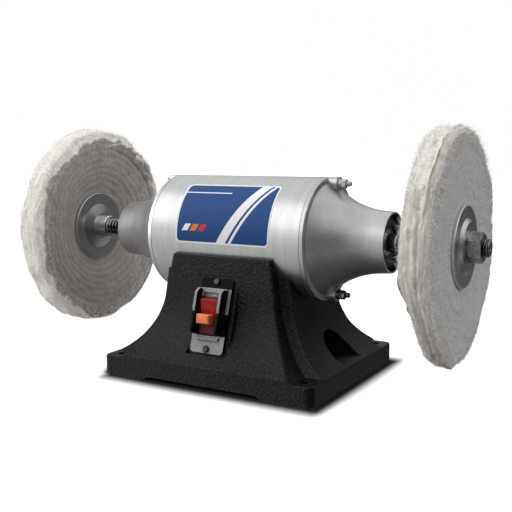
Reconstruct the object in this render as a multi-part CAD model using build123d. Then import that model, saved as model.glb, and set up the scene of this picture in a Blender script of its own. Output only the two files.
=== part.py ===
from build123d import *
import os
from math import cos, pi, radians, sin, sqrt, tan

# Bench buffing machine, in millimetres. +Z is up and +X runs along the shaft to the right-hand wheel.
# The switch side faces -Y. The origin is on the floor under the middle of the base.

# Overall sizes and fits
shaft_height = 134.0
wheel_diameter = 200.0
fit_gap = 0.05
loose_gap = 0.2
found_within = 0.1

# Foot of the base
foot_length = 227.0
foot_depth = 191.0
foot_height = 18.5
foot_corner = 8.0
foot_edge_round = 1.5
relief_half = 58.0
relief_height = 3.5
relief_ramp = 9.0
bench_hole_radius = 4.5
bench_hole_inset_x = 13.5
bench_hole_inset_y = 13.5

# Pedestal: a deep panel crossed with a wide block; each wall is drafted and then flares by an arc
saddle_drop = 16.0
flare_start = 77.0
panel_half_x = 54.0
panel_draft_x = 9.0
panel_flare_x = 96.0
panel_lip = 1.6
panel_draft_y = 5.5
panel_flare_y = 79.0
block_half_x = 64.8
block_draft_x = 9.0
block_flare_x = 81.0
block_inset_y = 9.5
block_draft_y = 1.5
block_flare_y = 107.0
casting_wall = 7.0
saddle_web = 8.0
outer_edge_round = 2.5
inner_corner_round = 4.0
cavity_half_x = 57.0
cavity_half_y = 72.0
pocket_width = 42.0
pocket_floor = 20.0
pocket_crown = 47.0

# Bottom cover
cover_ledge = 9.0
cover_thickness = 1.5
cover_top = 5.5
cover_corner = 6.0

# Small pan-head screws
screw_radius = 1.45
screw_hole = 1.5
screw_clearance = 1.7
screw_head_radius = 3.4
screw_head_height = 2.3
screw_head_chamfer = 0.9
screw_length = 9.0
short_screw_length = 4.5
cross_length = 4.1
cross_width = 0.8
cross_depth = 0.7

# Safety switch; heights in it run up the tilted plate from the plate's middle
switch_tilt = 17.0
switch_top_height = 98.8
plate_proud = 1.2
plate_width = 35.4
plate_height = 70.5
plate_thickness = 2.0
plate_corner = 4.0
pad_width = 44.0
pad_margin = 2.5
pad_depth = 14.0
pad_round = 2.0
switch_screw_inset = 3.75
window_width = 23.6
window_low = -18.9
window_top = 16.8
bezel_sheet = 1.5
bezel_top = 25.0
bezel_chamfer = 0.8
bezel_head_rise = 2.6
on_bar = 4.0
on_bar_rise = 1.0
on_bar_width = 20.0
off_bar = 3.0
off_bar_rise = 2.6
off_bar_flat = 1.2
guard_width = 2.6
guard_height = 13.0
guard_low_height = 5.0
guard_shoulder = 3.0
guard_shoulder_slope = 4.0
guard_chamfer = 1.2
body_rim = 1.2
body_depth = 30.0
well_gap = 0.3
spade_width = 6.3
spade_thickness = 0.8
spade_length = 8.0
rocker_width = 18.0
rocker_reach = 17.2
rocker_end_height = 7.0
rocker_middle_height = 4.5
rocker_belly = 8.0
rocker_tilt = 11.0
rocker_height = -1.0
rocker_edge_round = 1.0
pivot_radius = 2.0
pivot_length = 1.5
key_width = 13.5
key_thickness = 8.6
key_head = 6.5
key_offset = -1.2
key_top = 16.6
key_root = 2.5
key_stem_width = 9.0
key_stem_thickness = 6.0
key_round = 1.2
key_groove = 0.9
key_groove_step = 1.4
key_grooves = 3

# Mains inlet and the electrical pieces inside the base
inlet_height = 52.0
inlet_boss_radius = 13.0
inlet_proud = 0.5
grommet_flange_radius = 10.5
grommet_flange = 3.0
grommet_radius = 8.0
grommet_round = 1.2
grommet_tail = 3.0
cord_radius = 4.2
capacitor_radius = 17.5
capacitor_length = 68.0
capacitor_round = 2.0
capacitor_y = 28.0
clamp_width = 16.0
clamp_thickness = 1.2
clamp_foot = 12.0
terminal_length = 44.0
terminal_depth = 17.0
terminal_step = 8.0
terminal_height = 15.0
terminal_ear = 7.0
terminal_ear_height = 3.0
terminal_y = -24.0
terminal_poles = 4

# Motor tube, stator and rotor
tube_radius = 58.1
tube_wall = 3.0
tube_half_length = 81.3
tube_edge_chamfer = 0.6
stator_half_length = 42.0
stator_bore = 31.0
air_gap = 0.5
stator_notch_gap = 0.7
winding_length = 22.0
winding_clearance = 1.2
winding_inner = 34.5
winding_round = 5.0
cage_ring = 9.0
cage_inner = 20.0
cage_step = 1.0
fan_blades = 8
fan_blade_length = 11.0
fan_blade_thickness = 2.0

# End bells; distances along the shaft are from the middle of the machine
bell_flange = 4.0
bell_flange_round = 1.0
bell_spigot = 5.0
bell_spigot_wall = 3.5
bell_shoulder_step = 5.1
bell_wall = 3.5
bell_nose_end = 148.0
bell_nose_length = 10.0
bell_nose_slope = 0.077
bell_nose_wall = 1.8
bell_nose_vent = 6.2
bell_rib_thickness = 4.0
boss_wall = 2.0
boss_lip = 2.5
boss_lip_thickness = 2.0
boss_recess = 4.0
boss_inner_end = 1.0
lug_radius = 7.5
lug_seat = 94.0

# Ball bearings, 17 x 40 x 12
bearing_bore = 8.5
bearing_radius = 20.0
bearing_width = 12.0
ball_count = 8
ball_share = 0.293
ball_side_margin = 2.2
race_share = 0.64
ball_clearance = 0.08
seal_thickness = 0.8
seal_inset = 0.2
bearing_cage_thickness = 1.6
bearing_cage_margin = 0.75
wave_washer_thickness = 0.8

# Through-bolts that clamp the bells on the tube
bolt_radius = 2.5
bolt_clearance = 0.25
bolt_inset = 6.1
bolt_flats = 8.0
bolt_head_height = 3.6
bolt_nut_height = 4.7
bolt_stud = 4.7
washer_thickness = 1.0
washer_radius = 5.0
spring_washer_thickness = 1.6
spring_washer_radius = 4.4
spring_washer_split = 1.0

# Bolts and the lead bush between the motor tube and the saddle
saddle_bolt_radius = 3.0
saddle_bolt_angle = 25.0
saddle_bolt_offset = 6.5
saddle_bolt_flats = 10.0
saddle_bolt_head = 4.0
saddle_nut_height = 4.5
saddle_bolt_end = 0.5
saddle_washer_radius = 6.0
lead_bush_radius = 5.0
lead_bush_bore = 3.5
lead_bush_flange = 6.5
lead_bush_flange_thickness = 1.5
lead_bush_angle = 12.0

# Shaft, flanges, nuts and wheels
rotor_seat_radius = 11.0
rotor_seat_half = 58.0
shaft_shoulder_radius = 10.0
spindle_radius = 8.0
spindle_end = 234.0
spindle_chamfer = 1.5
flange_seat = 181.0
flange_radius = 36.2
flange_hub_radius = 11.5
flange_rim_inner = 24.5
flange_rim = 3.9
flange_cone = 3.4
flange_cone_flat = 2.5
flange_relief = 1.9
flange_round = 1.0
wheel_inner_face = 200.9
wheel_pinch = 9.7
wheel_flange_gap = 1.0
wheel_inner_bulge = 13.4
wheel_outer_bulge = 2.9
wheel_rim_depth = 15.0
wheel_rim_puff = 1.2
wheel_rim_corner = 2.0
wheel_rows = 4
wheel_pillow = 0.9
outer_flange_rim = 3.0
outer_flange_hub = 6.0
outer_flange_hub_radius = 22.0
nut_flats = 24.0
nut_height = 11.9
nut_chamfer = 1.2
nut_chamfer_reach = 1.9

# Sizes that follow from the ones above
saddle_top = shaft_height - saddle_drop
panel_x = (panel_half_x, panel_draft_x, panel_flare_x)
panel_y = (tube_radius + panel_lip, panel_draft_y, panel_flare_y)
block_x = (block_half_x, block_draft_x, block_flare_x)
block_y = (tube_radius - block_inset_y, block_draft_y, block_flare_y)
cover_half_x = cavity_half_x + cover_ledge
cover_half_y = cavity_half_y + cover_ledge
switch_screw_height = plate_height / 2 - switch_screw_inset
window_height = window_top - window_low
window_middle = (window_top + window_low) / 2
body_width = window_width + 2 * body_rim
body_height = window_height + 2 * body_rim
tube_inner = tube_radius - tube_wall
web_radius = tube_radius + saddle_web
bolt_circle = tube_radius - bolt_inset
winding_outer = bolt_circle - bolt_radius - winding_clearance
bell_nose_radius = bearing_radius + bell_nose_vent + bell_nose_wall
bearing_outer_face = bell_nose_end - boss_recess - boss_lip_thickness
bearing_inner_face = bearing_outer_face - bearing_width
bearing_middle = bearing_outer_face - bearing_width / 2
bearing_pitch = (bearing_bore + bearing_radius) / 2
ball_radius = min(
    ball_share * (bearing_radius - bearing_bore), bearing_width / 2 - ball_side_margin
)
race_reach = race_share * ball_radius
washer_stack = washer_thickness + spring_washer_thickness
saddle_bolt_x = stator_half_length + saddle_bolt_offset
wheel_radius = wheel_diameter / 2
wheel_outer_face = wheel_inner_face + wheel_pinch
nut_seat = wheel_outer_face + outer_flange_hub
on_axis = Pos(0, 0, shaft_height)


# Shared helpers

def turned(outline):
    """A solid turned about the shaft's axis from a closed outline of (along the shaft, radius)."""
    return on_axis * revolve(make_face(outline), Axis.X)


def ring(start, end, inner, outer):
    """A plain ring about the shaft's axis."""
    return turned(Polyline((start, inner), (end, inner), (end, outer), (start, outer), close=True))


def rod(start, end, radius):
    """A plain rod on the shaft's axis."""
    return turned(Polyline((start, 0), (end, 0), (end, radius), (start, radius), close=True))


def side_rod(start, end, radius, height):
    """A rod along X at a height above or below the shaft's axis."""
    return on_axis * Pos((start + end) / 2, 0, height) * Rot(0, 90, 0) * Cylinder(radius, abs(end - start))


def side_hexagon(start, end, flats, height):
    """A hexagon prism along X at a height above or below the shaft's axis, with flats facing +Y and -Y."""
    outline = RegularPolygon(flats / 2, 6, major_radius=False, rotation=30)
    return on_axis * Pos(0, 0, height) * extrude(Plane.YZ.offset(start) * outline, end - start)


def left_copy(solid):
    """The mirror image of a right-hand piece."""
    return mirror(solid, about=Plane.YZ)


def group(pieces):
    """Separate solids kept together in one node."""
    return Compound(children=[solid for piece in pieces for solid in piece.solids()])


def pan_head_screw(length):
    """A pan-head screw: seat at the origin, head above it, shank down along -Z."""
    head = Cylinder(screw_head_radius, screw_head_height)
    head = chamfer(head.faces().sort_by(Axis.Z)[-1].edges(), screw_head_chamfer)
    return Pos(0, 0, screw_head_height / 2) * head + Pos(0, 0, -length / 2) * Cylinder(screw_radius, length)


def cross_recess():
    """Cutter for the cross in the top of a pan-head screw."""
    arm = Box(cross_length, cross_width, 2 * cross_depth)
    return Pos(0, 0, screw_head_height) * (arm + Rot(0, 0, 90) * arm)


# Base

def flare_half(z, half_top, draft, radius):
    """Half width of a wall that is drafted down to the flare's start and then flares by an arc."""
    slope = tan(radians(draft))
    if z >= flare_start:
        return half_top + (saddle_top - z) * slope
    half_start = half_top + (saddle_top - flare_start) * slope
    centre = half_start + radius * cos(radians(draft))
    centre_z = flare_start + radius * sin(radians(draft))
    return centre - sqrt(radius**2 - (centre_z - z) ** 2)


def flare_face(wall):
    """Upright outline between a pair of flared walls, from the saddle's top down to the foot's top."""
    half_top, draft, _ = wall
    half_start = flare_half(flare_start, *wall)
    half_foot = flare_half(foot_height, *wall)
    down = (sin(radians(draft)), -cos(radians(draft)))
    right = Line((half_top, saddle_top), (half_start, flare_start))
    right += TangentArc((half_start, flare_start), (half_foot, foot_height), tangent=down)
    ends = Line((-half_top, saddle_top), (half_top, saddle_top))
    ends += Line((-half_foot, foot_height), (half_foot, foot_height))
    return make_face(right + mirror(right, about=Plane.YZ) + ends)


def flared_block(wall_x, wall_y):
    """A block whose four walls are drafted and flared, standing on the foot's top."""
    across = extrude(Plane.XZ * flare_face(wall_x), foot_depth, both=True)
    deep = extrude(Plane.YZ * flare_face(wall_y), foot_length, both=True)
    return across & deep


def meeting_edges(solid, wall_x, wall_y):
    """The upright edges along which two flared walls meet."""
    found = ShapeList()
    for edge in solid.edges():
        middle = edge @ 0.5
        if foot_height + found_within < middle.Z < saddle_top - found_within:
            off_x = abs(middle.X) - flare_half(middle.Z, *wall_x)
            off_y = abs(middle.Y) - flare_half(middle.Z, *wall_y)
            if abs(off_x) < found_within and abs(off_y) < found_within:
                found.append(edge)
    return found


def inner_wall(wall):
    """The cavity's side of a flared wall."""
    half_top, draft, radius = wall
    return (half_top - casting_wall, draft, radius + casting_wall)


def skirt(wall_x, wall_y):
    """The part of the foot straight under a flared block."""
    width = 2 * flare_half(foot_height, *wall_x)
    depth = 2 * flare_half(foot_height, *wall_y)
    return Pos(0, 0, foot_height / 2) * Box(width, depth, foot_height)


def pedestal():
    """The outside of the casting: two crossed flared blocks on the foot."""
    panel = flared_block(panel_x, panel_y)
    panel = fillet(meeting_edges(panel, panel_x, panel_y), outer_edge_round)
    block = flared_block(block_x, block_y)
    block = fillet(meeting_edges(block, block_x, block_y), outer_edge_round)
    cross = panel + block
    cross = fillet(meeting_edges(cross, panel_x, block_y), inner_corner_round)
    plan = RectangleRounded(foot_length, foot_depth, foot_corner)
    foot = extrude(plan, foot_height)
    foot = fillet(foot.faces().sort_by(Axis.Z)[-1].edges(), foot_edge_round)
    cross += skirt(panel_x, panel_y) + skirt(block_x, block_y)
    return (cross & extrude(plan, saddle_top)) + foot


def cavity():
    """The hollow inside the casting, open at the bottom and closed above by the saddle's web."""
    hollow = flared_block(inner_wall(panel_x), inner_wall(panel_y))
    hollow += flared_block(inner_wall(block_x), inner_wall(block_y))
    hollow += skirt(inner_wall(panel_x), inner_wall(panel_y))
    hollow &= Box(2 * cavity_half_x, 2 * cavity_half_y, 3 * saddle_top)
    return hollow - rod(-foot_length, foot_length, web_radius)


def arched_pocket():
    """A blind arched pocket in the right-hand side of the pedestal."""
    half = pocket_width / 2
    spring = pocket_crown - half
    outline = Polyline((-half, spring), (-half, pocket_floor), (half, pocket_floor), (half, spring))
    outline += ThreePointArc((half, spring), (0, pocket_crown), (-half, spring))
    return extrude(Plane.YZ.offset(cavity_half_x + casting_wall) * make_face(outline), foot_length / 2)


def switch_frame():
    """Frame on the switch pad: X is the machine's X, Y runs up the plate and Z points out."""
    up_y = sin(radians(switch_tilt))
    up_z = cos(radians(switch_tilt))
    front = flare_half(switch_top_height, *panel_y) + plate_proud
    middle_y = -front - plate_height / 2 * up_y + plate_thickness * up_z
    middle_z = switch_top_height - plate_height / 2 * up_z - plate_thickness * up_y
    return Plane(origin=(0, middle_y, middle_z), x_dir=(1, 0, 0), z_dir=(0, -up_z, up_y))


def switch_screw_places():
    """The upper and lower screw of the switch, in the switch's frame."""
    return [Pos(0, switch_screw_height, 0), Pos(0, -switch_screw_height, 0)]


def inlet_face():
    """Distance back of the flat seat of the mains inlet."""
    return flare_half(inlet_height - inlet_boss_radius, *panel_y) + inlet_proud


def inlet_rod(start, end, radius):
    """A rod along Y on the mains inlet's axis."""
    return Pos(0, (start + end) / 2, inlet_height) * Rot(90, 0, 0) * Cylinder(radius, end - start)


def four_corners(x, y, z):
    """Four places mirrored about the machine's middle."""
    return [Pos(side * x, end * y, z) for side in (-1, 1) for end in (-1, 1)]


def bench_hole_places():
    """The bench bolt holes in the corner ledges of the foot."""
    return four_corners(foot_length / 2 - bench_hole_inset_x, foot_depth / 2 - bench_hole_inset_y, 0)


def cover_screw_places():
    """The bottom cover's screws, in the ledge outside the cavity's corners."""
    return four_corners(cavity_half_x + cover_ledge / 2, cavity_half_y + cover_ledge / 2, cover_top)


def under_tube(x, angle, radius):
    """Frame under the motor tube whose Z points outward from the shaft's axis."""
    outward = (0, sin(radians(angle)), -cos(radians(angle)))
    origin = (x, radius * outward[1], shaft_height + radius * outward[2])
    return Plane(origin=origin, x_dir=(1, 0, 0), z_dir=outward)


def saddle_bolt_frames(radius):
    """Frames of the four bolts that hold the motor tube on the saddle."""
    return [
        under_tube(side * saddle_bolt_x, turn * saddle_bolt_angle, radius)
        for side in (-1, 1)
        for turn in (-1, 1)
    ]


def lead_frame(radius):
    """Frame of the hole that takes the motor's leads down into the base."""
    return under_tube(saddle_bolt_x, lead_bush_angle, radius)


def saddle_holes(radius):
    """Cutters for the bolt holes and the lead hole through the tube or the saddle's web."""
    length = 4 * saddle_web
    holes = [frame * Cylinder(saddle_bolt_radius + loose_gap, length) for frame in saddle_bolt_frames(radius)]
    holes.append(lead_frame(radius) * Cylinder(lead_bush_radius, length))
    return holes


def base_casting():
    """The hollow cast pedestal with its foot, saddle, switch pad and mains inlet."""
    frame = switch_frame()
    pad_height = plate_height + 2 * pad_margin
    pad = Box(pad_width, pad_height, pad_depth)
    pad = fillet(pad.faces().sort_by(Axis.Z)[-1].edges(), pad_round)
    body = pedestal() + frame * Pos(0, 0, -pad_depth / 2) * pad
    body += inlet_rod(0, inlet_face(), inlet_boss_radius)

    body -= cavity()
    body -= rod(-foot_length, foot_length, tube_radius)
    pocket = arched_pocket()
    body -= pocket
    body -= left_copy(pocket)

    body -= frame * Pos(0, 0, pad_depth / 2) * Box(pad_width, pad_height, pad_depth)
    window = Box(body_width + 2 * loose_gap, body_height + 2 * loose_gap, 2 * body_depth)
    body -= frame * Pos(0, window_middle, 0) * window
    for place in switch_screw_places():
        body -= frame * place * Cylinder(screw_hole, 2 * screw_length)
    body -= inlet_rod(inlet_face(), foot_depth, inlet_boss_radius + loose_gap)
    body -= inlet_rod(0, foot_depth, grommet_radius)

    for place in bench_hole_places():
        body -= place * Cylinder(bench_hole_radius, 4 * foot_height)
    recess = RectangleRounded(2 * (cover_half_x + loose_gap), 2 * (cover_half_y + loose_gap), cover_corner)
    body -= extrude(recess, cover_top)
    ramp_end = relief_half + relief_ramp
    relief = Polyline(
        (-ramp_end, 0), (-relief_half, relief_height), (relief_half, relief_height), (ramp_end, 0), close=True
    )
    body -= extrude(Plane.XZ * make_face(relief), foot_depth, both=True)
    for place in cover_screw_places():
        body -= place * Cylinder(screw_hole, 2 * screw_length)
    for hole in saddle_holes(web_radius):
        body -= hole
    return body


def bottom_cover():
    """The pressed plate that closes the base from below."""
    plate = extrude(RectangleRounded(2 * cover_half_x, 2 * cover_half_y, cover_corner), -cover_thickness)
    plate = Pos(0, 0, cover_top) * plate
    for place in cover_screw_places():
        plate -= place * Cylinder(screw_clearance, 4 * cover_thickness)
    for place in clamp_screw_places() + terminal_screw_places():
        plate -= place * Cylinder(screw_hole, 4 * cover_thickness)
    return plate


def bottom_cover_screws():
    """The four screws of the bottom cover, driven from below."""
    screw = Pos(0, 0, -cover_thickness) * Rot(180, 0, 0) * pan_head_screw(screw_length)
    return group([place * screw for place in cover_screw_places()])


# Switch

def switch_plate():
    """The black backing plate on the pad."""
    plate = extrude(RectangleRounded(plate_width, plate_height, plate_corner), plate_thickness)
    hole = Box(body_width + 2 * fit_gap, body_height + 2 * fit_gap, 4 * plate_thickness)
    plate -= Pos(0, window_middle, 0) * hole
    for place in switch_screw_places():
        plate -= place * Cylinder(screw_clearance, 4 * plate_thickness)
    return switch_frame() * plate


def bezel_guard():
    """The right-hand finger guard beside the window, high at the rocker's top and low at its foot."""
    high = guard_height + plate_thickness
    low = guard_low_height + plate_thickness
    end = bezel_top - guard_chamfer
    outline = Polyline(
        (window_low, plate_thickness),
        (window_low, low - guard_chamfer),
        (window_low + guard_chamfer, low),
        (guard_shoulder - guard_shoulder_slope, low),
        (guard_shoulder, high - guard_chamfer),
        (guard_shoulder + guard_chamfer, high),
        (end - guard_shoulder_slope, high),
        (end, high - guard_shoulder_slope),
        (end, plate_thickness),
        close=True,
    )
    return extrude(Plane.YZ.offset(window_width / 2) * make_face(outline), guard_width)


def switch_bezel():
    """The grey bezel: a windowed sheet with a head, finger guards, two sloped bars and a screwed foot."""
    upper = Pos(0, bezel_top / 2) * Rectangle(plate_width, bezel_top)
    lower = Pos(0, -plate_height / 4) * RectangleRounded(plate_width, plate_height / 2, plate_corner)
    window = Pos(0, window_middle) * Rectangle(window_width, window_height)
    sheet = Pos(0, 0, plate_thickness) * extrude(upper + lower - window, bezel_sheet)
    top = plate_thickness + bezel_sheet
    head_top = top + bezel_head_rise
    head = Polyline(
        (window_top, top),
        (window_top, head_top),
        (bezel_top - bezel_chamfer, head_top),
        (bezel_top, head_top - bezel_chamfer),
        (bezel_top, top),
        close=True,
    )
    head = extrude(Plane.YZ * make_face(head), window_width / 2 + guard_width, both=True)
    on_end = window_top + on_bar
    over_bar = Polyline(
        (window_top, top),
        (on_end, top + on_bar_rise),
        (on_end, head_top),
        (window_top, head_top),
        close=True,
    )
    head -= extrude(Plane.YZ * make_face(over_bar), on_bar_width / 2, both=True)
    off_top = window_low - off_bar
    off_end = off_top - off_bar_flat
    low_bar = Polyline(
        (window_low, top),
        (off_top, top + off_bar_rise),
        (off_end, top + off_bar_rise),
        (off_end, top),
        close=True,
    )
    low_bar = extrude(Plane.YZ * make_face(low_bar), window_width / 2, both=True)
    guard = bezel_guard()
    bezel = sheet + head + low_bar + guard + left_copy(guard)
    bezel -= switch_screw_places()[1] * Cylinder(screw_clearance, 8 * bezel_sheet)
    return switch_frame() * bezel


def switch_body():
    """The moulded switch housing behind the plate, with the rocker's well and pivot seats."""
    body = Pos(0, window_middle, plate_thickness - body_depth / 2) * Box(body_width, body_height, body_depth)
    pivot = Pos(rocker_height, plate_thickness)
    well = Circle(rocker_reach + well_gap)
    body -= extrude(Plane.YZ * pivot * well, rocker_width / 2 + loose_gap, both=True)
    seat_reach = rocker_width / 2 + pivot_length + loose_gap
    body -= extrude(Plane.YZ * pivot * Circle(pivot_radius + fit_gap), seat_reach, both=True)
    spade = Box(spade_thickness, spade_width, spade_length)
    spade_z = plate_thickness - body_depth - spade_length / 2
    for side in (-1, 1):
        for level in (-1, 1):
            body += Pos(side * body_width / 4, window_middle + level * body_height / 4, spade_z) * spade
    return switch_frame() * body


def rocker_frame():
    """Frame on the rocker's pivot at rest, which is OFF: its upper half stands out."""
    return switch_frame() * Pos(0, rocker_height, plate_thickness) * Rot(rocker_tilt, 0, 0)


def switch_rocker():
    """The red rocker: round ends about its pivot, a dished face, pivot pins and the key's pocket."""
    end = sqrt(rocker_reach**2 - rocker_end_height**2)
    halfway = rocker_end_height / 2
    bulge = sqrt(rocker_reach**2 - halfway**2)
    outline = Polyline((end, rocker_end_height), (0, rocker_middle_height), (-end, rocker_end_height))
    outline += ThreePointArc((-end, rocker_end_height), (-bulge, halfway), (-rocker_reach, 0))
    outline += ThreePointArc((-rocker_reach, 0), (0, -rocker_belly), (rocker_reach, 0))
    outline += ThreePointArc((rocker_reach, 0), (bulge, halfway), (end, rocker_end_height))
    rocker = extrude(Plane.YZ * make_face(outline), rocker_width / 2, both=True)
    rocker = fillet(rocker.edges().filter_by(Axis.X).sort_by(Axis.Z)[-2:], rocker_edge_round)
    rocker += extrude(Plane.YZ * Circle(pivot_radius), rocker_width / 2 + pivot_length, both=True)
    pocket = Box(key_stem_width + 2 * loose_gap, key_stem_thickness + 2 * loose_gap, 4 * key_root)
    deep = Pos(0, key_offset, key_root - loose_gap) * pocket
    return rocker_frame() * (rocker - deep)


def safety_key():
    """The pull-out safety key: a stem in the rocker's pocket and a head with grip grooves above and below."""
    head = Box(key_width, key_thickness, key_head)
    head = fillet(head.faces().sort_by(Axis.Z)[-1].edges(), key_round)
    head = Pos(0, key_offset, key_top - key_head / 2) * head
    length = key_top - key_head / 2 + key_root
    stem = Box(key_stem_width, key_stem_thickness, length)
    key = head + Pos(0, key_offset, length / 2 - key_root) * stem
    for side in (-1, 1):
        for step in range(1, key_grooves + 1):
            height = key_top - key_round - step * key_groove_step
            place = Pos(key_offset + side * key_thickness / 2, height)
            key -= extrude(Plane.YZ * place * Circle(key_groove / 2), key_width, both=True)
    return rocker_frame() * key


def switch_screws():
    """The switch's two screws; the lower one also holds the bezel's foot."""
    upper, lower = switch_screw_places()
    screw = pan_head_screw(screw_length) - cross_recess()
    on_plate = switch_frame() * upper * Pos(0, 0, plate_thickness) * screw
    on_bezel = switch_frame() * lower * Pos(0, 0, plate_thickness + bezel_sheet) * screw
    return group([on_plate, on_bezel])


# Mains inlet and electrical pieces

def cord_grommet():
    """The flanged rubber bush of the mains inlet."""
    face = inlet_face()
    inside = flare_half(inlet_height, *inner_wall(panel_y)) - grommet_tail
    flange = inlet_rod(face, face + grommet_flange, grommet_flange_radius)
    flange = fillet(flange.edges().filter_by(GeomType.CIRCLE).sort_by(Axis.Y)[-1], grommet_round)
    bush = flange + inlet_rod(inside, face, grommet_radius - fit_gap)
    return bush - inlet_rod(0, foot_depth, cord_radius)


def capacitor_frame():
    """Frame on the capacitor's axis: X is the machine's Y, Y is up and Z is the machine's X."""
    origin = (0, capacitor_y, cover_top + capacitor_radius)
    return Plane(origin=origin, x_dir=(0, 1, 0), z_dir=(1, 0, 0))


def run_capacitor():
    """The run capacitor: a can with rounded ends and two spade terminals."""
    can = Cylinder(capacitor_radius, capacitor_length)
    can = fillet(can.edges().filter_by(GeomType.CIRCLE), capacitor_round)
    for side in (-1, 1):
        place = Pos(side * spade_width, 0, capacitor_length / 2 + spade_length / 2)
        can += place * Box(spade_thickness, spade_width, spade_length)
    return capacitor_frame() * can


def clamp_screw_places():
    """The two screws in the clamp's feet."""
    reach = capacitor_radius + 0.6 * clamp_foot
    return [Pos(0, capacitor_y + side * reach, cover_top) for side in (-1, 1)]


def capacitor_clamp():
    """The strap over the capacitor, with two feet on the bottom cover."""
    inner = capacitor_radius + loose_gap
    outer = inner + clamp_thickness
    arch = (Circle(outer) - Circle(inner)) & (Pos(0, outer) * Rectangle(4 * outer, 2 * outer))
    leg = Rectangle(clamp_thickness, capacitor_radius, align=(Align.MIN, Align.MAX))
    foot = Rectangle(clamp_foot, clamp_thickness, align=(Align.MIN, Align.MIN))
    side = Pos(inner, 0) * leg + Pos(inner, -capacitor_radius) * foot
    strap = extrude(arch + side + mirror(side, about=Plane.YZ), clamp_width / 2, both=True)
    strap = capacitor_frame() * strap
    for place in clamp_screw_places():
        strap -= place * Cylinder(screw_clearance, 4 * clamp_thickness)
    return strap


def clamp_screws():
    """The clamp's screws."""
    screw = Pos(0, 0, clamp_thickness) * pan_head_screw(short_screw_length)
    return group([place * screw for place in clamp_screw_places()])


def terminal_screw_places():
    """The two screws in the terminal block's ears."""
    reach = terminal_length / 2 + terminal_ear / 2
    return [Pos(side * reach, terminal_y, cover_top) for side in (-1, 1)]


def terminal_block():
    """The terminal block: a stepped body with a screw well at each pole and an ear at each end."""
    half = terminal_depth / 2
    outline = Polyline(
        (-half, 0),
        (-half, terminal_step),
        (-half / 2, terminal_height),
        (half / 2, terminal_height),
        (half, terminal_step),
        (half, 0),
        close=True,
    )
    block = extrude(Plane.YZ * make_face(outline), terminal_length / 2, both=True)
    pitch = terminal_length / terminal_poles
    for pole in range(terminal_poles):
        x = (pole - (terminal_poles - 1) / 2) * pitch
        block -= Pos(x, 0, terminal_height) * Cylinder(pitch * 0.3, terminal_step)
    ear_length = terminal_length + 2 * terminal_ear
    block += Pos(0, 0, terminal_ear_height / 2) * Box(ear_length, 1.5 * terminal_ear, terminal_ear_height)
    block = Pos(0, terminal_y, cover_top) * block
    for place in terminal_screw_places():
        block -= place * Cylinder(screw_clearance, 4 * terminal_ear_height)
    return block


def terminal_screws():
    """The terminal block's screws."""
    screw = Pos(0, 0, terminal_ear_height) * pan_head_screw(short_screw_length + terminal_ear_height / 2)
    return group([place * screw for place in terminal_screw_places()])


# Motor

def motor_tube():
    """The motor's tube with bolt holes and a lead hole on its underside."""
    tube = ring(-tube_half_length, tube_half_length, tube_inner, tube_radius)
    rims = [edge for edge in tube.edges().filter_by(GeomType.CIRCLE) if edge.radius > tube_radius - 0.1]
    tube = chamfer(rims, tube_edge_chamfer)
    for hole in saddle_holes(tube_radius):
        tube -= hole
    return tube


def bell_shell():
    """The trumpet-shaped shell of the right-hand bell, with its spigot and flange."""
    end = tube_half_length + bell_flange
    rounded = end - bell_flange_round
    shoulder = tube_radius - bell_shoulder_step
    neck = bell_nose_end - bell_nose_length
    neck_radius = bell_nose_radius + bell_nose_slope * bell_nose_length
    inner_neck = neck - bell_wall
    inner_radius = neck_radius - bell_nose_wall + bell_nose_slope * bell_wall
    spigot_start = tube_half_length - bell_spigot
    spigot_outer = tube_inner - fit_gap
    spigot_inner = spigot_outer - bell_spigot_wall
    back = (-1, bell_nose_slope)
    outline = Polyline(
        (spigot_start, spigot_inner),
        (spigot_start, spigot_outer),
        (tube_half_length, spigot_outer),
        (tube_half_length, tube_radius),
        (rounded, tube_radius),
    )
    outline += TangentArc((rounded, tube_radius), (end, tube_radius - bell_flange_round), tangent=(1, 0))
    outline += Line((end, tube_radius - bell_flange_round), (end, shoulder))
    outline += TangentArc((neck, neck_radius), (end, shoulder), tangent=back)
    outline += Polyline(
        (neck, neck_radius),
        (bell_nose_end, bell_nose_radius),
        (bell_nose_end, bell_nose_radius - bell_nose_wall),
        (inner_neck, inner_radius),
    )
    outline += TangentArc((inner_neck, inner_radius), (tube_half_length, shoulder - bell_wall), tangent=back)
    outline += Polyline(
        (tube_half_length, shoulder - bell_wall),
        (tube_half_length, spigot_inner),
        (spigot_start, spigot_inner),
    )
    return turned(outline)


def bearing_boss(extra_seat):
    """The bearing's housing ring in the nose, its outer lip and four ribs to the nose's wall."""
    start = bearing_inner_face - boss_inner_end
    end = bearing_outer_face + boss_lip_thickness
    seat_end = bearing_outer_face + extra_seat
    seat = bearing_radius + fit_gap
    boss = bearing_radius + boss_wall
    lip = bearing_radius - boss_lip
    outline = Polyline(
        (start, seat), (seat_end, seat), (seat_end, lip), (end, lip), (end, boss), (start, boss), close=True
    )
    housing = turned(outline)
    reach = bell_nose_radius - bell_nose_wall / 2
    rib = Box(end - start, bell_rib_thickness, reach - boss + boss_wall / 2)
    rib = Pos((start + end) / 2, 0, (boss + reach) / 2) * rib
    for quarter in range(4):
        housing += on_axis * Rot(45 + 90 * quarter, 0, 0) * rib
    return housing


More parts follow.
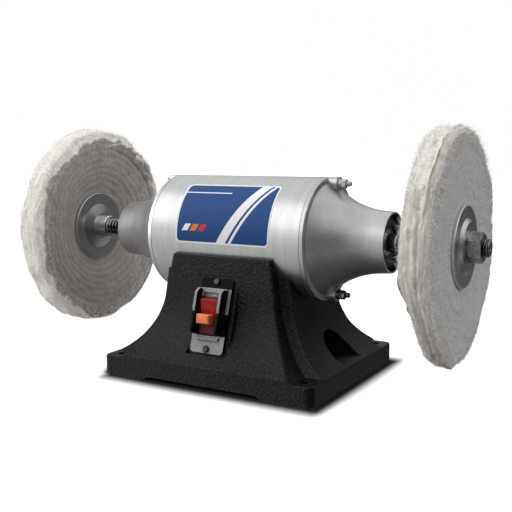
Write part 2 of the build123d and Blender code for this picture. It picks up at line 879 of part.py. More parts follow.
def end_bell(extra_seat):
    """The right-hand end bell with its bearing boss and the two lugs of the through-bolts."""
    bell = bell_shell() + bearing_boss(extra_seat)
    for height in (bolt_circle, -bolt_circle):
        lug = side_rod(tube_half_length, lug_seat, lug_radius, height)
        bell += lug & rod(0, lug_seat, tube_radius)
    for height in (bolt_circle, -bolt_circle):
        bell -= side_rod(0, bell_nose_end, bolt_radius + bolt_clearance, height)
        notch = Box(2 * bell_spigot, 2 * bolt_radius + 4 * bolt_clearance, 2 * lug_radius)
        bell -= on_axis * Pos(tube_half_length - bell_spigot, 0, height) * notch
    return bell


def through_bolts():
    """The two long bolts through both bells, with their heads at the left."""
    seat = lug_seat + washer_stack
    bolts = []
    for height in (bolt_circle, -bolt_circle):
        shank = side_rod(-seat, seat + bolt_nut_height + bolt_stud, bolt_radius, height)
        bolts.append(shank + side_hexagon(-seat - bolt_head_height, -seat, bolt_flats, height))
    return group(bolts)


def through_bolt_washers():
    """A flat washer and a split spring washer under each head and nut."""
    pieces = []
    hole = bolt_radius + fit_gap
    middle = lug_seat + washer_thickness
    for height in (bolt_circle, -bolt_circle):
        flat = side_rod(lug_seat, middle, washer_radius, height)
        spring = side_rod(middle, lug_seat + washer_stack, spring_washer_radius, height)
        split = on_axis * Pos(middle, spring_washer_radius, height)
        split *= Box(4 * spring_washer_thickness, 2 * spring_washer_radius, spring_washer_split)
        bore = side_rod(0, bell_nose_end, hole, height)
        pair = [flat - bore, spring - bore - split]
        pieces += pair + [left_copy(piece) for piece in pair]
    return group(pieces)


def through_bolt_nuts():
    """The nuts at the right-hand ends of the through-bolts."""
    seat = lug_seat + washer_stack
    nuts = []
    for height in (bolt_circle, -bolt_circle):
        nut = side_hexagon(seat, seat + bolt_nut_height, bolt_flats, height)
        nuts.append(nut - side_rod(0, bell_nose_end, bolt_radius + fit_gap, height))
    return group(nuts)


def nut_face_radius():
    """The distance from the axis at which a saddle nut's corners meet the tube's inside."""
    corner = saddle_bolt_flats / sqrt(3)
    return sqrt(tube_inner**2 - corner**2) - fit_gap


def hexagon_out(flats, height):
    """A hexagon prism on the XY plane, rising along Z."""
    return extrude(RegularPolygon(flats / 2, 6, major_radius=False), height)


def saddle_bolts():
    """The four bolts from inside the base into the nuts in the tube."""
    tip = nut_face_radius() - saddle_nut_height - saddle_bolt_end
    seat = web_radius + washer_thickness
    bolt = Pos(0, 0, (tip - seat) / 2) * Cylinder(saddle_bolt_radius, seat - tip)
    bolt += hexagon_out(saddle_bolt_flats, saddle_bolt_head)
    return group([frame * bolt for frame in saddle_bolt_frames(seat)])


def saddle_washers():
    """The washers under the saddle bolts' heads."""
    washer = Cylinder(saddle_washer_radius, washer_thickness)
    washer -= Cylinder(saddle_bolt_radius + fit_gap, 2 * washer_thickness)
    middle = web_radius + washer_thickness / 2
    return group([frame * washer for frame in saddle_bolt_frames(middle)])


def saddle_nuts():
    """The nuts fixed to the inside of the tube."""
    nut = hexagon_out(saddle_bolt_flats, -saddle_nut_height)
    nut -= Cylinder(saddle_bolt_radius + fit_gap, 4 * saddle_nut_height)
    return group([frame * nut for frame in saddle_bolt_frames(nut_face_radius())])


def lead_grommet():
    """The flanged bush for the motor's leads, through the tube and the saddle's web."""
    length = web_radius - tube_inner
    bush = Pos(0, 0, -length / 2) * Cylinder(lead_bush_radius - fit_gap, length)
    bush += Pos(0, 0, lead_bush_flange_thickness / 2) * Cylinder(lead_bush_flange, lead_bush_flange_thickness)
    bush -= Cylinder(lead_bush_bore, 4 * length)
    return lead_frame(web_radius) * bush


def stator_core():
    """The stator's lamination stack, notched for the through-bolts."""
    core = ring(-stator_half_length, stator_half_length, stator_bore, tube_inner - fit_gap)
    for height in (bolt_circle, -bolt_circle):
        notch_width = 2 * (bolt_radius + stator_notch_gap)
        notch_height = 2 * (bolt_radius + bolt_inset - tube_wall)
        notch = Box(3 * stator_half_length, notch_width, notch_height)
        core -= on_axis * Pos(0, 0, height) * notch
    return core


def winding():
    """The right-hand end turns of the stator winding, taped to a rounded ring."""
    wound = ring(stator_half_length, stator_half_length + winding_length, winding_inner, winding_outer)
    crown = wound.edges().filter_by(GeomType.CIRCLE).group_by(Axis.X)[-1]
    return fillet(crown, winding_round)


def rotor_core():
    """The rotor's lamination stack on the shaft."""
    return ring(-stator_half_length, stator_half_length, rotor_seat_radius + fit_gap, stator_bore - air_gap)


def rotor_cage():
    """The cast end rings of the rotor, each with fan blades."""
    outer = stator_bore - air_gap - cage_step
    ring_end = stator_half_length + cage_ring
    end_ring = ring(stator_half_length, ring_end, cage_inner, outer)
    blade = Pos(ring_end + fan_blade_length / 2, 0, (cage_inner + outer) / 2)
    blade *= Box(fan_blade_length, fan_blade_thickness, outer - cage_inner - cage_step)
    for number in range(fan_blades):
        end_ring += on_axis * Rot(360 / fan_blades * number, 0, 0) * blade
    return group([end_ring, left_copy(end_ring)])


def shaft():
    """The double-ended shaft: rotor seat, bearing seats and the two spindle ends."""
    half = Polyline(
        (0, 0),
        (0, rotor_seat_radius),
        (rotor_seat_half, rotor_seat_radius),
        (rotor_seat_half, shaft_shoulder_radius),
        (bearing_inner_face, shaft_shoulder_radius),
        (bearing_inner_face, bearing_bore),
        (flange_seat, bearing_bore),
        (flange_seat, spindle_radius),
        (spindle_end - spindle_chamfer, spindle_radius),
        (spindle_end, spindle_radius - spindle_chamfer),
        (spindle_end, 0),
        close=True,
    )
    right = turned(half)
    return right + left_copy(right)


# Bearings

def ball_groove():
    """The ring-shaped groove that the balls run in."""
    groove = Pos(bearing_middle, bearing_pitch) * Circle(ball_radius + ball_clearance)
    return on_axis * revolve(groove, Axis.X)


def bearing_outer_ring():
    """The right-hand bearing's outer ring."""
    plain = ring(bearing_inner_face, bearing_outer_face, bearing_pitch + race_reach, bearing_radius)
    return plain - ball_groove()


def bearing_inner_ring():
    """The right-hand bearing's inner ring."""
    bore = bearing_bore + fit_gap / 2
    plain = ring(bearing_inner_face, bearing_outer_face, bore, bearing_pitch - race_reach)
    return plain - ball_groove()


def bearing_balls():
    """The right-hand bearing's balls, joined to the cage ring that carries them."""
    half = ball_radius + bearing_cage_margin
    inner = bearing_pitch - bearing_cage_thickness / 2
    balls = ring(bearing_middle - half, bearing_middle + half, inner, inner + bearing_cage_thickness)
    for number in range(ball_count):
        turn = Rot(360 / ball_count * number, 0, 0)
        balls += on_axis * turn * Pos(bearing_middle, 0, bearing_pitch) * Sphere(ball_radius)
    return balls


def bearing_seals():
    """The two seals in the right-hand bearing's outer ring."""
    outer = bearing_pitch + race_reach - fit_gap
    inner = bearing_pitch - race_reach + 1.5 * loose_gap
    near = bearing_inner_face + seal_inset
    far = bearing_outer_face - seal_inset
    near_seal = ring(near, near + seal_thickness, inner, outer)
    far_seal = ring(far - seal_thickness, far, inner, outer)
    return group([near_seal, far_seal])


def bearing_wave_washer():
    """The spring ring between the left-hand bearing and the lip of its seat."""
    end = bearing_outer_face + wave_washer_thickness
    return left_copy(ring(bearing_outer_face, end, bearing_radius - boss_lip, bearing_radius - loose_gap))


# Flanges, wheels and nuts

def inner_flange():
    """The right-hand inner flange: a hub against the shaft's shoulder, a coned web and a clamping rim."""
    bore = spindle_radius + fit_gap
    rim_back = wheel_inner_face - flange_rim
    web_front = wheel_inner_face - flange_relief
    cone_top = rim_back - flange_cone
    outline = Polyline(
        (flange_seat, bore),
        (flange_seat, flange_hub_radius - flange_round),
        (flange_seat + flange_round, flange_hub_radius),
        (cone_top, flange_hub_radius),
        (cone_top, flange_hub_radius + flange_cone_flat),
        (rim_back, flange_rim_inner),
        (rim_back, flange_radius - flange_round),
    )
    rim_turn = (rim_back + flange_round, flange_radius)
    outline += TangentArc((rim_back, flange_radius - flange_round), rim_turn, tangent=(0, 1))
    outline += Polyline(
        rim_turn,
        (wheel_inner_face, flange_radius),
        (wheel_inner_face, flange_rim_inner),
        (web_front, flange_rim_inner),
        (web_front, bore),
        (flange_seat, bore),
    )
    return turned(outline)


def outer_flange():
    """The right-hand outer flange: a clamping rim and a raised middle under the nut."""
    bore = spindle_radius + fit_gap
    rim_front = wheel_outer_face + outer_flange_rim
    recess = wheel_outer_face + flange_relief
    recess_radius = outer_flange_hub_radius - 2 * flange_round
    outline = Polyline(
        (recess, bore),
        (recess, recess_radius),
        (wheel_outer_face, recess_radius),
        (wheel_outer_face, flange_radius),
        (rim_front - flange_round, flange_radius),
    )
    rim_turn = (rim_front, flange_radius - flange_round)
    outline += TangentArc((rim_front - flange_round, flange_radius), rim_turn, tangent=(1, 0))
    outline += Polyline(
        rim_turn,
        (rim_front, outer_flange_hub_radius + 3 * flange_round),
        (nut_seat, outer_flange_hub_radius),
        (nut_seat, bore),
        (recess, bore),
    )
    return turned(outline)


def wheel_face(pinch_x, bulge):
    """One sewn face of the wheel, from the flange's edge out to the last stitch row, in pillows."""
    first = flange_radius + wheel_flange_gap
    last = wheel_radius - wheel_rim_depth
    rows = []
    for row in range(wheel_rows + 1):
        share = row / wheel_rows
        rows.append((pinch_x + bulge * sin(pi / 2 * share), first + (last - first) * share))
    puff = wheel_pillow if bulge > 0 else -wheel_pillow
    face = Curve()
    for low, high in zip(rows, rows[1:]):
        middle = ((low[0] + high[0]) / 2 + puff, (low[1] + high[1]) / 2)
        face += ThreePointArc(low, middle, high)
    return face, rows[-1]


def buffing_wheel():
    """The right-hand sewn cotton wheel: pinched by its flanges, pillowed between rows, with a full rim."""
    bore = spindle_radius + loose_gap
    first = flange_radius + wheel_flange_gap
    inner_face, inner_row = wheel_face(wheel_inner_face, wheel_rim_puff - wheel_inner_bulge)
    outer_face, outer_row = wheel_face(wheel_outer_face, wheel_outer_bulge - wheel_rim_puff)
    corner = wheel_radius - wheel_rim_corner
    half_rim = (inner_row[1] + corner) / 2
    inner_corner = (inner_row[0] + wheel_rim_corner, corner)
    outer_corner = (outer_row[0] - wheel_rim_corner, corner)
    crest = ((inner_corner[0] + outer_corner[0]) / 2, wheel_radius)
    outline = inner_face + outer_face
    outline += ThreePointArc(inner_row, (inner_row[0] - wheel_rim_puff, half_rim), inner_corner)
    outline += ThreePointArc(inner_corner, crest, outer_corner)
    outline += ThreePointArc(outer_corner, (outer_row[0] + wheel_rim_puff, half_rim), outer_row)
    outline += Polyline(
        (wheel_outer_face, first),
        (wheel_outer_face, bore),
        (wheel_inner_face, bore),
        (wheel_inner_face, first),
    )
    return turned(outline)


def spindle_nut():
    """The right-hand spindle nut, with both faces chamfered."""
    end = nut_seat + nut_height
    corner = nut_flats / sqrt(3)
    low = corner - nut_chamfer_reach
    nut = side_hexagon(nut_seat, end, nut_flats, 0)
    outline = Polyline(
        (nut_seat, 0),
        (nut_seat, low),
        (nut_seat + nut_chamfer, corner),
        (end - nut_chamfer, corner),
        (end, low),
        (end, 0),
        close=True,
    )
    return (nut & turned(outline)) - rod(0, spindle_end, spindle_radius + fit_gap)


def both_sides(pieces):
    """Right-hand pieces by name, with a mirrored left-hand copy of each."""
    named = {}
    for name, solid in pieces.items():
        named[f"right_{name}"] = solid
        named[f"left_{name}"] = left_copy(solid)
    return named


def machine():
    """Every piece of the machine by name."""
    pieces = {
        "base_casting": base_casting(),
        "bottom_cover": bottom_cover(),
        "bottom_cover_screws": bottom_cover_screws(),
        "switch_plate": switch_plate(),
        "switch_bezel": switch_bezel(),
        "switch_body": switch_body(),
        "switch_rocker": switch_rocker(),
        "safety_key": safety_key(),
        "switch_screws": switch_screws(),
        "cord_grommet": cord_grommet(),
        "run_capacitor": run_capacitor(),
        "capacitor_clamp": capacitor_clamp(),
        "clamp_screws": clamp_screws(),
        "terminal_block": terminal_block(),
        "terminal_screws": terminal_screws(),
        "motor_tube": motor_tube(),
        "right_end_bell": end_bell(0),
        "left_end_bell": left_copy(end_bell(wave_washer_thickness)),
        "through_bolts": through_bolts(),
        "through_bolt_washers": through_bolt_washers(),
        "through_bolt_nuts": through_bolt_nuts(),
        "saddle_bolts": saddle_bolts(),
        "saddle_washers": saddle_washers(),
        "saddle_nuts": saddle_nuts(),
        "lead_grommet": lead_grommet(),
        "stator_core": stator_core(),
        "rotor_core": rotor_core(),
        "rotor_cage": rotor_cage(),
        "shaft": shaft(),
        "bearing_wave_washer": bearing_wave_washer(),
    }
    pieces |= both_sides(
        {
            "winding": winding(),
            "bearing_outer_ring": bearing_outer_ring(),
            "bearing_inner_ring": bearing_inner_ring(),
            "bearing_balls": bearing_balls(),
            "bearing_seals": bearing_seals(),
            "inner_flange": inner_flange(),
            "outer_flange": outer_flange(),
            "buffing_wheel": buffing_wheel(),
            "spindle_nut": spindle_nut(),
        }
    )
    return pieces


os.makedirs("parts", exist_ok=True)
for name, solid in machine().items():
    export_step(solid, f"parts/{name}.step")
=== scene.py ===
import logging
import math
from dataclasses import dataclass, replace
from enum import Enum
from typing import Callable, Iterable, NamedTuple

import bmesh
import bpy
import numpy as np
from mathutils import Matrix, Vector


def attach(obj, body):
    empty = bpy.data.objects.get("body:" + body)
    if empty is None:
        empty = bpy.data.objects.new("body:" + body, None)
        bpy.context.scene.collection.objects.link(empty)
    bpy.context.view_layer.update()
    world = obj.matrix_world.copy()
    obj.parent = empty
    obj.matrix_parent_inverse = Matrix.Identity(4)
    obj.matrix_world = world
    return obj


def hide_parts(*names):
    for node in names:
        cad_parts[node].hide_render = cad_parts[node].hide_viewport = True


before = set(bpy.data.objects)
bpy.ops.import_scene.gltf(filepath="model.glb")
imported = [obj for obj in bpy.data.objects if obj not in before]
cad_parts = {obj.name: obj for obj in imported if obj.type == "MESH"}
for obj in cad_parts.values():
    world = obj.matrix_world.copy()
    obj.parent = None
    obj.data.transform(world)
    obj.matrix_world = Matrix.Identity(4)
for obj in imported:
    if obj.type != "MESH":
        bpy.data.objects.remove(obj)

log = logging.getLogger("buffing_machine")

MM = 0.001
AXIS_HEIGHT = 134 * MM
SWITCH_TILT = math.radians(17)
SWITCH_OUTWARD = (0.0, -math.cos(SWITCH_TILT), math.sin(SWITCH_TILT))
SWITCH_UPWARD = (0.0, math.sin(SWITCH_TILT), math.cos(SWITCH_TILT))
SWITCH_MIDDLE = (0.0, -71.142 * MM, 64.506 * MM)
TUBE_RADIUS = 58.1 * MM
LABEL_HALF_WIDTH = 51.2 * MM
LABEL_HALF_HEIGHT = 32.0 * MM
FIRST_ROW = 37.2 * MM
LAST_ROW = 85.0 * MM
ROW_SPACES = 7
STITCH = 5.2 * MM

Colour = tuple[float, float, float]
Point = tuple[float, float, float]
Link = bpy.types.NodeSocket


class Side(Enum):
    """The end of the shaft that a piece is on; the value is the sign of its X."""

    RIGHT = 1
    LEFT = -1

    @property
    def word(self) -> str:
        """The side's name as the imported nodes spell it."""
        return self.name.lower()


class Body(Enum):
    """The bodies that new pieces ride on."""

    BASE = "base"
    ROTOR = "rotor"


def both(name: str) -> tuple[str, ...]:
    """The names that a piece has on the two sides."""
    return tuple(f"{side.word}_{name}" for side in Side)


# Shader maths


def arithmetic(operation: str, swapped: bool = False) -> Callable[["Socket", "Value"], "Socket"]:
    """A method of sockets that adds a Math node with two inputs.

    Args:
        operation: The node's operation.
        swapped: Whether the socket is the second input, as in an operator's reflected form.

    Returns:
        The method.
    """

    def method(self: "Socket", other: "Value") -> "Socket":
        """Adds the node and gives its result."""
        return self.nodes.math(operation, *((other, self) if swapped else (self, other)))

    return method


class Socket:
    """One output of a node tree, on which arithmetic adds Math nodes."""

    __add__ = arithmetic("ADD")
    __radd__ = arithmetic("ADD", swapped=True)
    __sub__ = arithmetic("SUBTRACT")
    __rsub__ = arithmetic("SUBTRACT", swapped=True)
    __mul__ = arithmetic("MULTIPLY")
    __rmul__ = arithmetic("MULTIPLY", swapped=True)
    __truediv__ = arithmetic("DIVIDE")
    __rtruediv__ = arithmetic("DIVIDE", swapped=True)
    most = arithmetic("MAXIMUM")
    angle_from = arithmetic("ARCTAN2")

    def __init__(self, nodes: "Nodes", output: Link) -> None:
        """Keeps the tree and the output."""
        self.nodes = nodes
        self.output = output

    def __abs__(self) -> "Socket":
        """The size of this without its sign."""
        return self.nodes.math("ABSOLUTE", self)

    def floor(self) -> "Socket":
        """The whole number below this."""
        return self.nodes.math("FLOOR", self)

    def sine(self) -> "Socket":
        """The sine of this, in radians."""
        return self.nodes.math("SINE", self)

    def root(self) -> "Socket":
        """The square root of this."""
        return self.nodes.math("SQRT", self)

    def step(self, low: float, high: float) -> "Socket":
        """A smooth step from 0 at low to 1 at high.

        Args:
            low: The value at which the step starts.
            high: The value at which it ends; below low for a falling step.

        Returns:
            The stepped value.
        """
        settings = {"interpolation_type": "SMOOTHSTEP"}
        inputs = {"Value": self, "From Min": low, "From Max": high}
        return Socket(self.nodes, self.nodes.node("MapRange", settings, inputs).outputs["Result"])


Value = Socket | float


class Nodes:
    """A node tree and the few ways in which nodes are added to it."""

    def __init__(self, tree: bpy.types.NodeTree) -> None:
        """Takes a tree and empties it."""
        self.tree = tree
        self.tree.nodes.clear()

    def node(
        self,
        kind: str,
        settings: dict[str, object] | None = None,
        inputs: dict[str | int, object] | None = None,
    ) -> bpy.types.Node:
        """Adds one node.

        Args:
            kind: The node's type without its prefix.
            settings: The node's own settings, which are set first.
            inputs: Numbers, colours or links for its sockets, by name or number.

        Returns:
            The new node.
        """
        made = self.tree.nodes.new(f"ShaderNode{kind}")
        for name, value in (settings or {}).items():
            setattr(made, name, value)
        for name, value in (inputs or {}).items():
            self.feed(made.inputs[name], value)
        return made

    def feed(self, target: Link, value: object) -> None:
        """Links or sets one input.

        Args:
            target: The input socket.
            value: A wrapped or plain output to link, or a number, vector or colour to set.
        """
        if isinstance(value, Socket):
            self.tree.links.new(value.output, target)
        elif isinstance(value, Link):
            self.tree.links.new(value, target)
        elif target.type == "RGBA" and len(value) == 3:
            target.default_value = (*value, 1)
        else:
            target.default_value = value

    def math(self, operation: str, *terms: Value) -> Socket:
        """Adds a Math node.

        Args:
            operation: The node's operation.
            terms: Its inputs in order.

        Returns:
            The result.
        """
        made = self.node("Math", {"operation": operation}, dict(enumerate(terms)))
        return Socket(self, made.outputs["Value"])

    def place(self) -> Link:
        """The point in the piece's own space, in metres."""
        return self.node("TexCoord").outputs["Object"]

    def split(self, vector: Link) -> tuple[Socket, Socket, Socket]:
        """A vector's three parts."""
        made = self.node("SeparateXYZ", inputs={"Vector": vector})
        return tuple(Socket(self, output) for output in made.outputs)

    def join(self, x: Value, y: Value, z: Value) -> Link:
        """A vector from three parts."""
        return self.node("CombineXYZ", inputs={"X": x, "Y": y, "Z": z}).outputs["Vector"]

    def noise(self, where: Link, size: float, detail: float = 2, rough: float = 0.5) -> Socket:
        """Soft noise around one half.

        Args:
            where: The point to read it at.
            size: The size of its lumps, in the point's own unit.
            detail: How many finer layers it has.
            rough: How strong the finer layers are.

        Returns:
            The noise, from 0 to 1.
        """
        inputs = {"Vector": where, "Scale": 1 / size, "Detail": detail, "Roughness": rough}
        return Socket(self, self.node("TexNoise", inputs=inputs).outputs["Fac"])

    def streaks(self, x: Value, y: Value, z: Value, rough: float = 0.6) -> Socket:
        """Noise with about one lump to each unit of three parts, so that each part can have its own scale."""
        return self.noise(self.join(x, y, z), 1, 2, rough)

    def cells(self, where: Link, size: float) -> Socket:
        """The distance to the nearest of scattered points, about one cell apart."""
        inputs = {"Vector": where, "Scale": 1 / size}
        return Socket(self, self.node("TexVoronoi", inputs=inputs).outputs["Distance"])

    def mix(self, share: Value, first: object, second: object) -> Link:
        """A colour between two colours.

        Args:
            share: 0 for the first, 1 for the second.
            first: A colour or a colour output.
            second: A colour or a colour output.

        Returns:
            The mixed colour.
        """
        made = self.node("Mix", {"data_type": "RGBA"}, {0: share, 6: first, 7: second})
        return made.outputs[2]

    def painted(self, name: str) -> tuple[Socket, Socket, Socket]:
        """Reads a colour that is stored on the mesh.

        Args:
            name: The name that it is stored under.

        Returns:
            Its three parts.
        """
        colour = self.node("Attribute", {"attribute_name": name}).outputs["Color"]
        made = self.node("SeparateColor", inputs={"Color": colour})
        return tuple(Socket(self, output) for output in made.outputs)

    def bump(self, height: Socket, depth: float, strength: float = 1.0) -> Link:
        """A normal from a height.

        Args:
            height: The height, from 0 to 1.
            depth: What a height of 1 is, in metres.
            strength: How much of it shows.

        Returns:
            The bent normal.
        """
        inputs = {"Height": height, "Distance": depth, "Strength": strength}
        return self.node("Bump", inputs=inputs).outputs["Normal"]

    def worn_edge(self, reach: float) -> Socket:
        """Finds the edges of a piece.

        Args:
            reach: How wide the edges are taken to be.

        Returns:
            0 on flats and 1 where the surface turns sharply.
        """
        rounded = self.node("Bevel", {"samples": 4}, {"Radius": reach}).outputs["Normal"]
        plain = self.node("NewGeometry").outputs["Normal"]
        made = self.node("VectorMath", {"operation": "DOT_PRODUCT"}, {0: rounded, 1: plain})
        return (1 - Socket(self, made.outputs["Value"])).step(0.02, 0.2)

    def surface(self, inputs: dict[str, object]) -> None:
        """Ends a material with its surface shader.

        Args:
            inputs: The shader's sockets that differ from its defaults.
        """
        shader = self.node("BsdfPrincipled", inputs=inputs).outputs["BSDF"]
        self.node("OutputMaterial", inputs={"Surface": shader})

    def around_shaft(self, where: Link) -> tuple[Socket, Socket, Socket]:
        """A point as its place along the shaft, its distance from the axis and its angle.

        Args:
            where: The point.

        Returns:
            Along, radius and angle; the angle is 0 at the top and its seam is at the bottom.
        """
        x, y, z = self.split(where)
        up = z - AXIS_HEIGHT
        return x, (y * y + up * up).root(), y.angle_from(up)


# Finishes


@dataclass(frozen=True)
class Finish:
    """A surface finish that becomes one material."""

    name: str

    def material(self) -> bpy.types.Material:
        """Makes the finish's material the first time that it is asked for.

        Returns:
            The material, which all pieces of this finish share.
        """
        found = bpy.data.materials.get(self.name)
        if found:
            return found
        made = bpy.data.materials.new(self.name)
        made.use_nodes = True
        self.paint(Nodes(made.node_tree))
        return made

    def paint(self, nodes: Nodes) -> None:
        """Adds the finish's nodes; each kind of finish has its own."""
        raise NotImplementedError


@dataclass(frozen=True)
class WrinklePaint(Finish):
    """Black wrinkle paint over rough cast iron."""

    dark: Colour = (0.002, 0.002, 0.0021)
    pale: Colour = (0.013, 0.013, 0.0133)
    bare: Colour = (0.050, 0.050, 0.052)
    lump: float = 2.4 * MM
    grain: float = 1.0 * MM
    patch: float = 30 * MM
    edge: float = 1.2 * MM
    depth: float = 1.7 * MM
    rough: float = 0.36
    shine: float = 0.22

    def paint(self, nodes: Nodes) -> None:
        """Lumps of the casting under finer wrinkles of the paint, with a painted highlight on the lumps'
        crests, dull patches and rubbed edges.

        Args:
            nodes: The nodes of the material.
        """
        where = nodes.place()
        lumps = nodes.noise(where, self.lump, 2, 0.5)
        grain = nodes.noise(where, self.grain, 2, 0.6)
        patches = nodes.noise(where, self.patch, 3, 0.6)
        height = lumps * 0.75 + grain * 0.25
        # Painted highlight: the crests of the lumps are painted paler, as glints on the grain.
        crest_highlight = (height * 0.85 + patches * 0.15).step(0.49, 0.62)
        rubbed = nodes.worn_edge(self.edge) * height.step(0.4, 0.6)
        paint = nodes.mix(crest_highlight, self.dark, self.pale)
        nodes.surface(
            {
                "Base Color": nodes.mix(rubbed, paint, self.bare),
                "Roughness": self.rough - 0.1 * lumps + 0.1 * patches,
                "Specular IOR Level": self.shine,
                "Normal": nodes.bump(height, self.depth),
            }
        )


@dataclass(frozen=True)
class BrushedTube(Finish):
    """Aluminium tube, finely turned so that its lines run round it."""

    dark: Colour = (0.42, 0.423, 0.427)
    pale: Colour = (0.56, 0.563, 0.567)
    line: float = 0.35 * MM
    band: float = 6 * MM
    smear: float = 22 * MM
    depth: float = 0.02 * MM
    rough: float = 0.25

    def paint(self, nodes: Nodes) -> None:
        """Fine rings of differing brightness and gloss, broken along their length.

        Args:
            nodes: The nodes of the material.
        """
        where = nodes.place()
        along, _, angle = nodes.around_shaft(where)
        fine = nodes.streaks(along / self.line, angle * 2.5, 0)
        broad = nodes.streaks(along / self.band, angle * 0.6, 0, 0.5)
        smears = nodes.noise(where, self.smear, 3, 0.6)
        tone = (fine * 0.6 + broad * 0.4).step(0.25, 0.75)
        nodes.surface(
            {
                "Base Color": nodes.mix(tone, self.dark, self.pale),
                "Metallic": 1.0,
                "Roughness": self.rough + 0.12 * fine + 0.10 * smears,
                "Normal": nodes.bump(fine, self.depth, 0.35),
            }
        )


@dataclass(frozen=True)
class CastMetal(Finish):
    """Cast or pressed metal with a satin skin."""

    dark: Colour
    pale: Colour
    rough: float
    grain: float = 0.6 * MM
    depth: float = 0.03 * MM
    metal: float = 1.0
    cloud: float = 18 * MM

    def tone(self, nodes: Nodes, where: Link, share: Socket) -> Link:
        """The metal's colour at a point, for a share of the pale colour."""
        return nodes.mix(share, self.dark, self.pale)

    def paint(self, nodes: Nodes) -> None:
        """A fine skin of grains, cloudy in tone and gloss.

        Args:
            nodes: The nodes of the material.
        """
        where = nodes.place()
        clouds = nodes.noise(where, self.cloud, 4, 0.6)
        grain = nodes.noise(where, self.grain, 2, 0.6)
        share = (clouds * 0.7 + grain * 0.3).step(0.3, 0.72)
        nodes.surface(
            {
                "Base Color": self.tone(nodes, where, share),
                "Metallic": self.metal,
                "Roughness": self.rough - 0.06 + 0.12 * clouds,
                "Normal": nodes.bump(grain, self.depth, 0.5),
            }
        )


@dataclass(frozen=True)
class BellCasting(CastMetal):
    """The bells' satin casting, with painted shade inside the nose."""

    shadow: Colour = (0.035, 0.035, 0.037)
    nose_start: float = 120 * MM
    nose_fade: float = 4 * MM
    nose_bore: float = 26.4 * MM
    skin: float = 0.3 * MM

    def tone(self, nodes: Nodes, where: Link, share: Socket) -> Link:
        """The casting's colour, with painted shade within the nose.

        Args:
            nodes: The tree.
            where: The point.
            share: The share of the pale colour.

        Returns:
            The colour.
        """
        along, radius, _ = nodes.around_shaft(where)
        # Painted shade: inside the nose the casting is darkened towards the shadow colour.
        inside = abs(along).step(self.nose_start, self.nose_start + self.nose_fade)
        inside = inside * radius.step(self.nose_bore + self.skin, self.nose_bore)
        return nodes.mix(inside, super().tone(nodes, where, share), self.shadow)


@dataclass(frozen=True)
class TurnedSteel(Finish):
    """Bright steel with the rings of the lathe's tool."""

    dark: Colour = (0.52, 0.525, 0.53)
    pale: Colour = (0.80, 0.805, 0.81)
    rough: float = 0.3
    ring: float = 0.3 * MM
    band: float = 2.2 * MM
    touch: float = 12 * MM
    depth: float = 0.02 * MM

    def tone(self, nodes: Nodes, along: Socket, radius: Socket, share: Socket) -> Link:
        """The steel's colour at a place along the shaft and a radius, for a share of the pale colour."""
        return nodes.mix(share, self.dark, self.pale)

    def paint(self, nodes: Nodes) -> None:
        """Fine rings by radius and by place along the shaft, with a few dull fingerprints.

        Args:
            nodes: The nodes of the material.
        """
        where = nodes.place()
        along, radius, angle = nodes.around_shaft(where)
        rings = nodes.streaks(radius / self.ring, along / self.ring, angle * 0.5)
        bands = nodes.streaks(radius / self.band, along / self.band, 0)
        prints = nodes.noise(where, self.touch, 3, 0.6)
        share = (rings * 0.5 + bands * 0.5).step(0.3, 0.7)
        nodes.surface(
            {
                "Base Color": self.tone(nodes, along, radius, share),
                "Metallic": 1.0,
                "Roughness": self.rough + 0.08 * rings + 0.12 * prints.step(0.5, 0.75),
                "Normal": nodes.bump(rings, self.depth, 0.4),
            }
        )


@dataclass(frozen=True)
class ThreadedSteel(TurnedSteel):
    """Turned steel with painted shade in the roots of its threads."""

    grime: Colour = (0.012, 0.012, 0.012)
    clean_above: float = 8.0 * MM
    full_below: float = 7.2 * MM
    clean_end: float = 233.2 * MM
    end_fade: float = 0.3 * MM

    def tone(self, nodes: Nodes, along: Socket, radius: Socket, share: Socket) -> Link:
        """The steel's colour, with painted shade in the roots.

        Args:
            nodes: The nodes of the material.
            along: The place along the shaft.
            radius: The distance from its axis.
            share: The share of the pale colour.

        Returns:
            The colour.
        """
        # Painted shade: below a radius the roots are darkened, except at the shaft's very ends.
        root = radius.step(self.clean_above, self.full_below)
        root = root * abs(along).step(self.clean_end + self.end_fade, self.clean_end)
        return nodes.mix(root, super().tone(nodes, along, radius, share), self.grime)


@dataclass(frozen=True)
class PlatedSteel(Finish):
    """Small steel hardware, plated or blackened."""

    dark: Colour
    pale: Colour
    rough: float = 0.3
    bare: Colour = (0.74, 0.74, 0.73)
    grime: Colour = (0.05, 0.05, 0.05)
    grimy_below: float = -1.0
    grime_fade: float = 5 * MM
    spot: float = 2.5 * MM
    scratch_length: float = 4 * MM
    scratch_width: float = 0.3 * MM
    edge: float = 0.5 * MM
    depth: float = 0.02 * MM

    def paint(self, nodes: Nodes) -> None:
        """A mottled coat with fine scratches and duller spots, rubbed bright on the edges, with painted shade
        low down.

        Args:
            nodes: The nodes of the material.
        """
        where = nodes.place()
        mottle = nodes.noise(where, self.spot, 3, 0.6)
        x, y, z = nodes.split(where)
        scratch = nodes.streaks(x / self.scratch_length, y / self.scratch_width, z / self.scratch_width)
        coat = nodes.mix(mottle.step(0.3, 0.7), self.dark, self.pale)
        coat = nodes.mix(nodes.worn_edge(self.edge) * mottle.step(0.2, 0.5), coat, self.bare)
        # Painted shade: below a set height the coat is darkened in patches.
        shade_mask = z.step(self.grimy_below, self.grimy_below - self.grime_fade) * mottle.step(0.75, 0.45)
        nodes.surface(
            {
                "Base Color": nodes.mix(shade_mask, coat, self.grime),
                "Metallic": 1.0,
                "Roughness": self.rough + 0.14 * mottle + 0.08 * scratch,
                "Normal": nodes.bump(scratch, self.depth, 0.4),
            }
        )


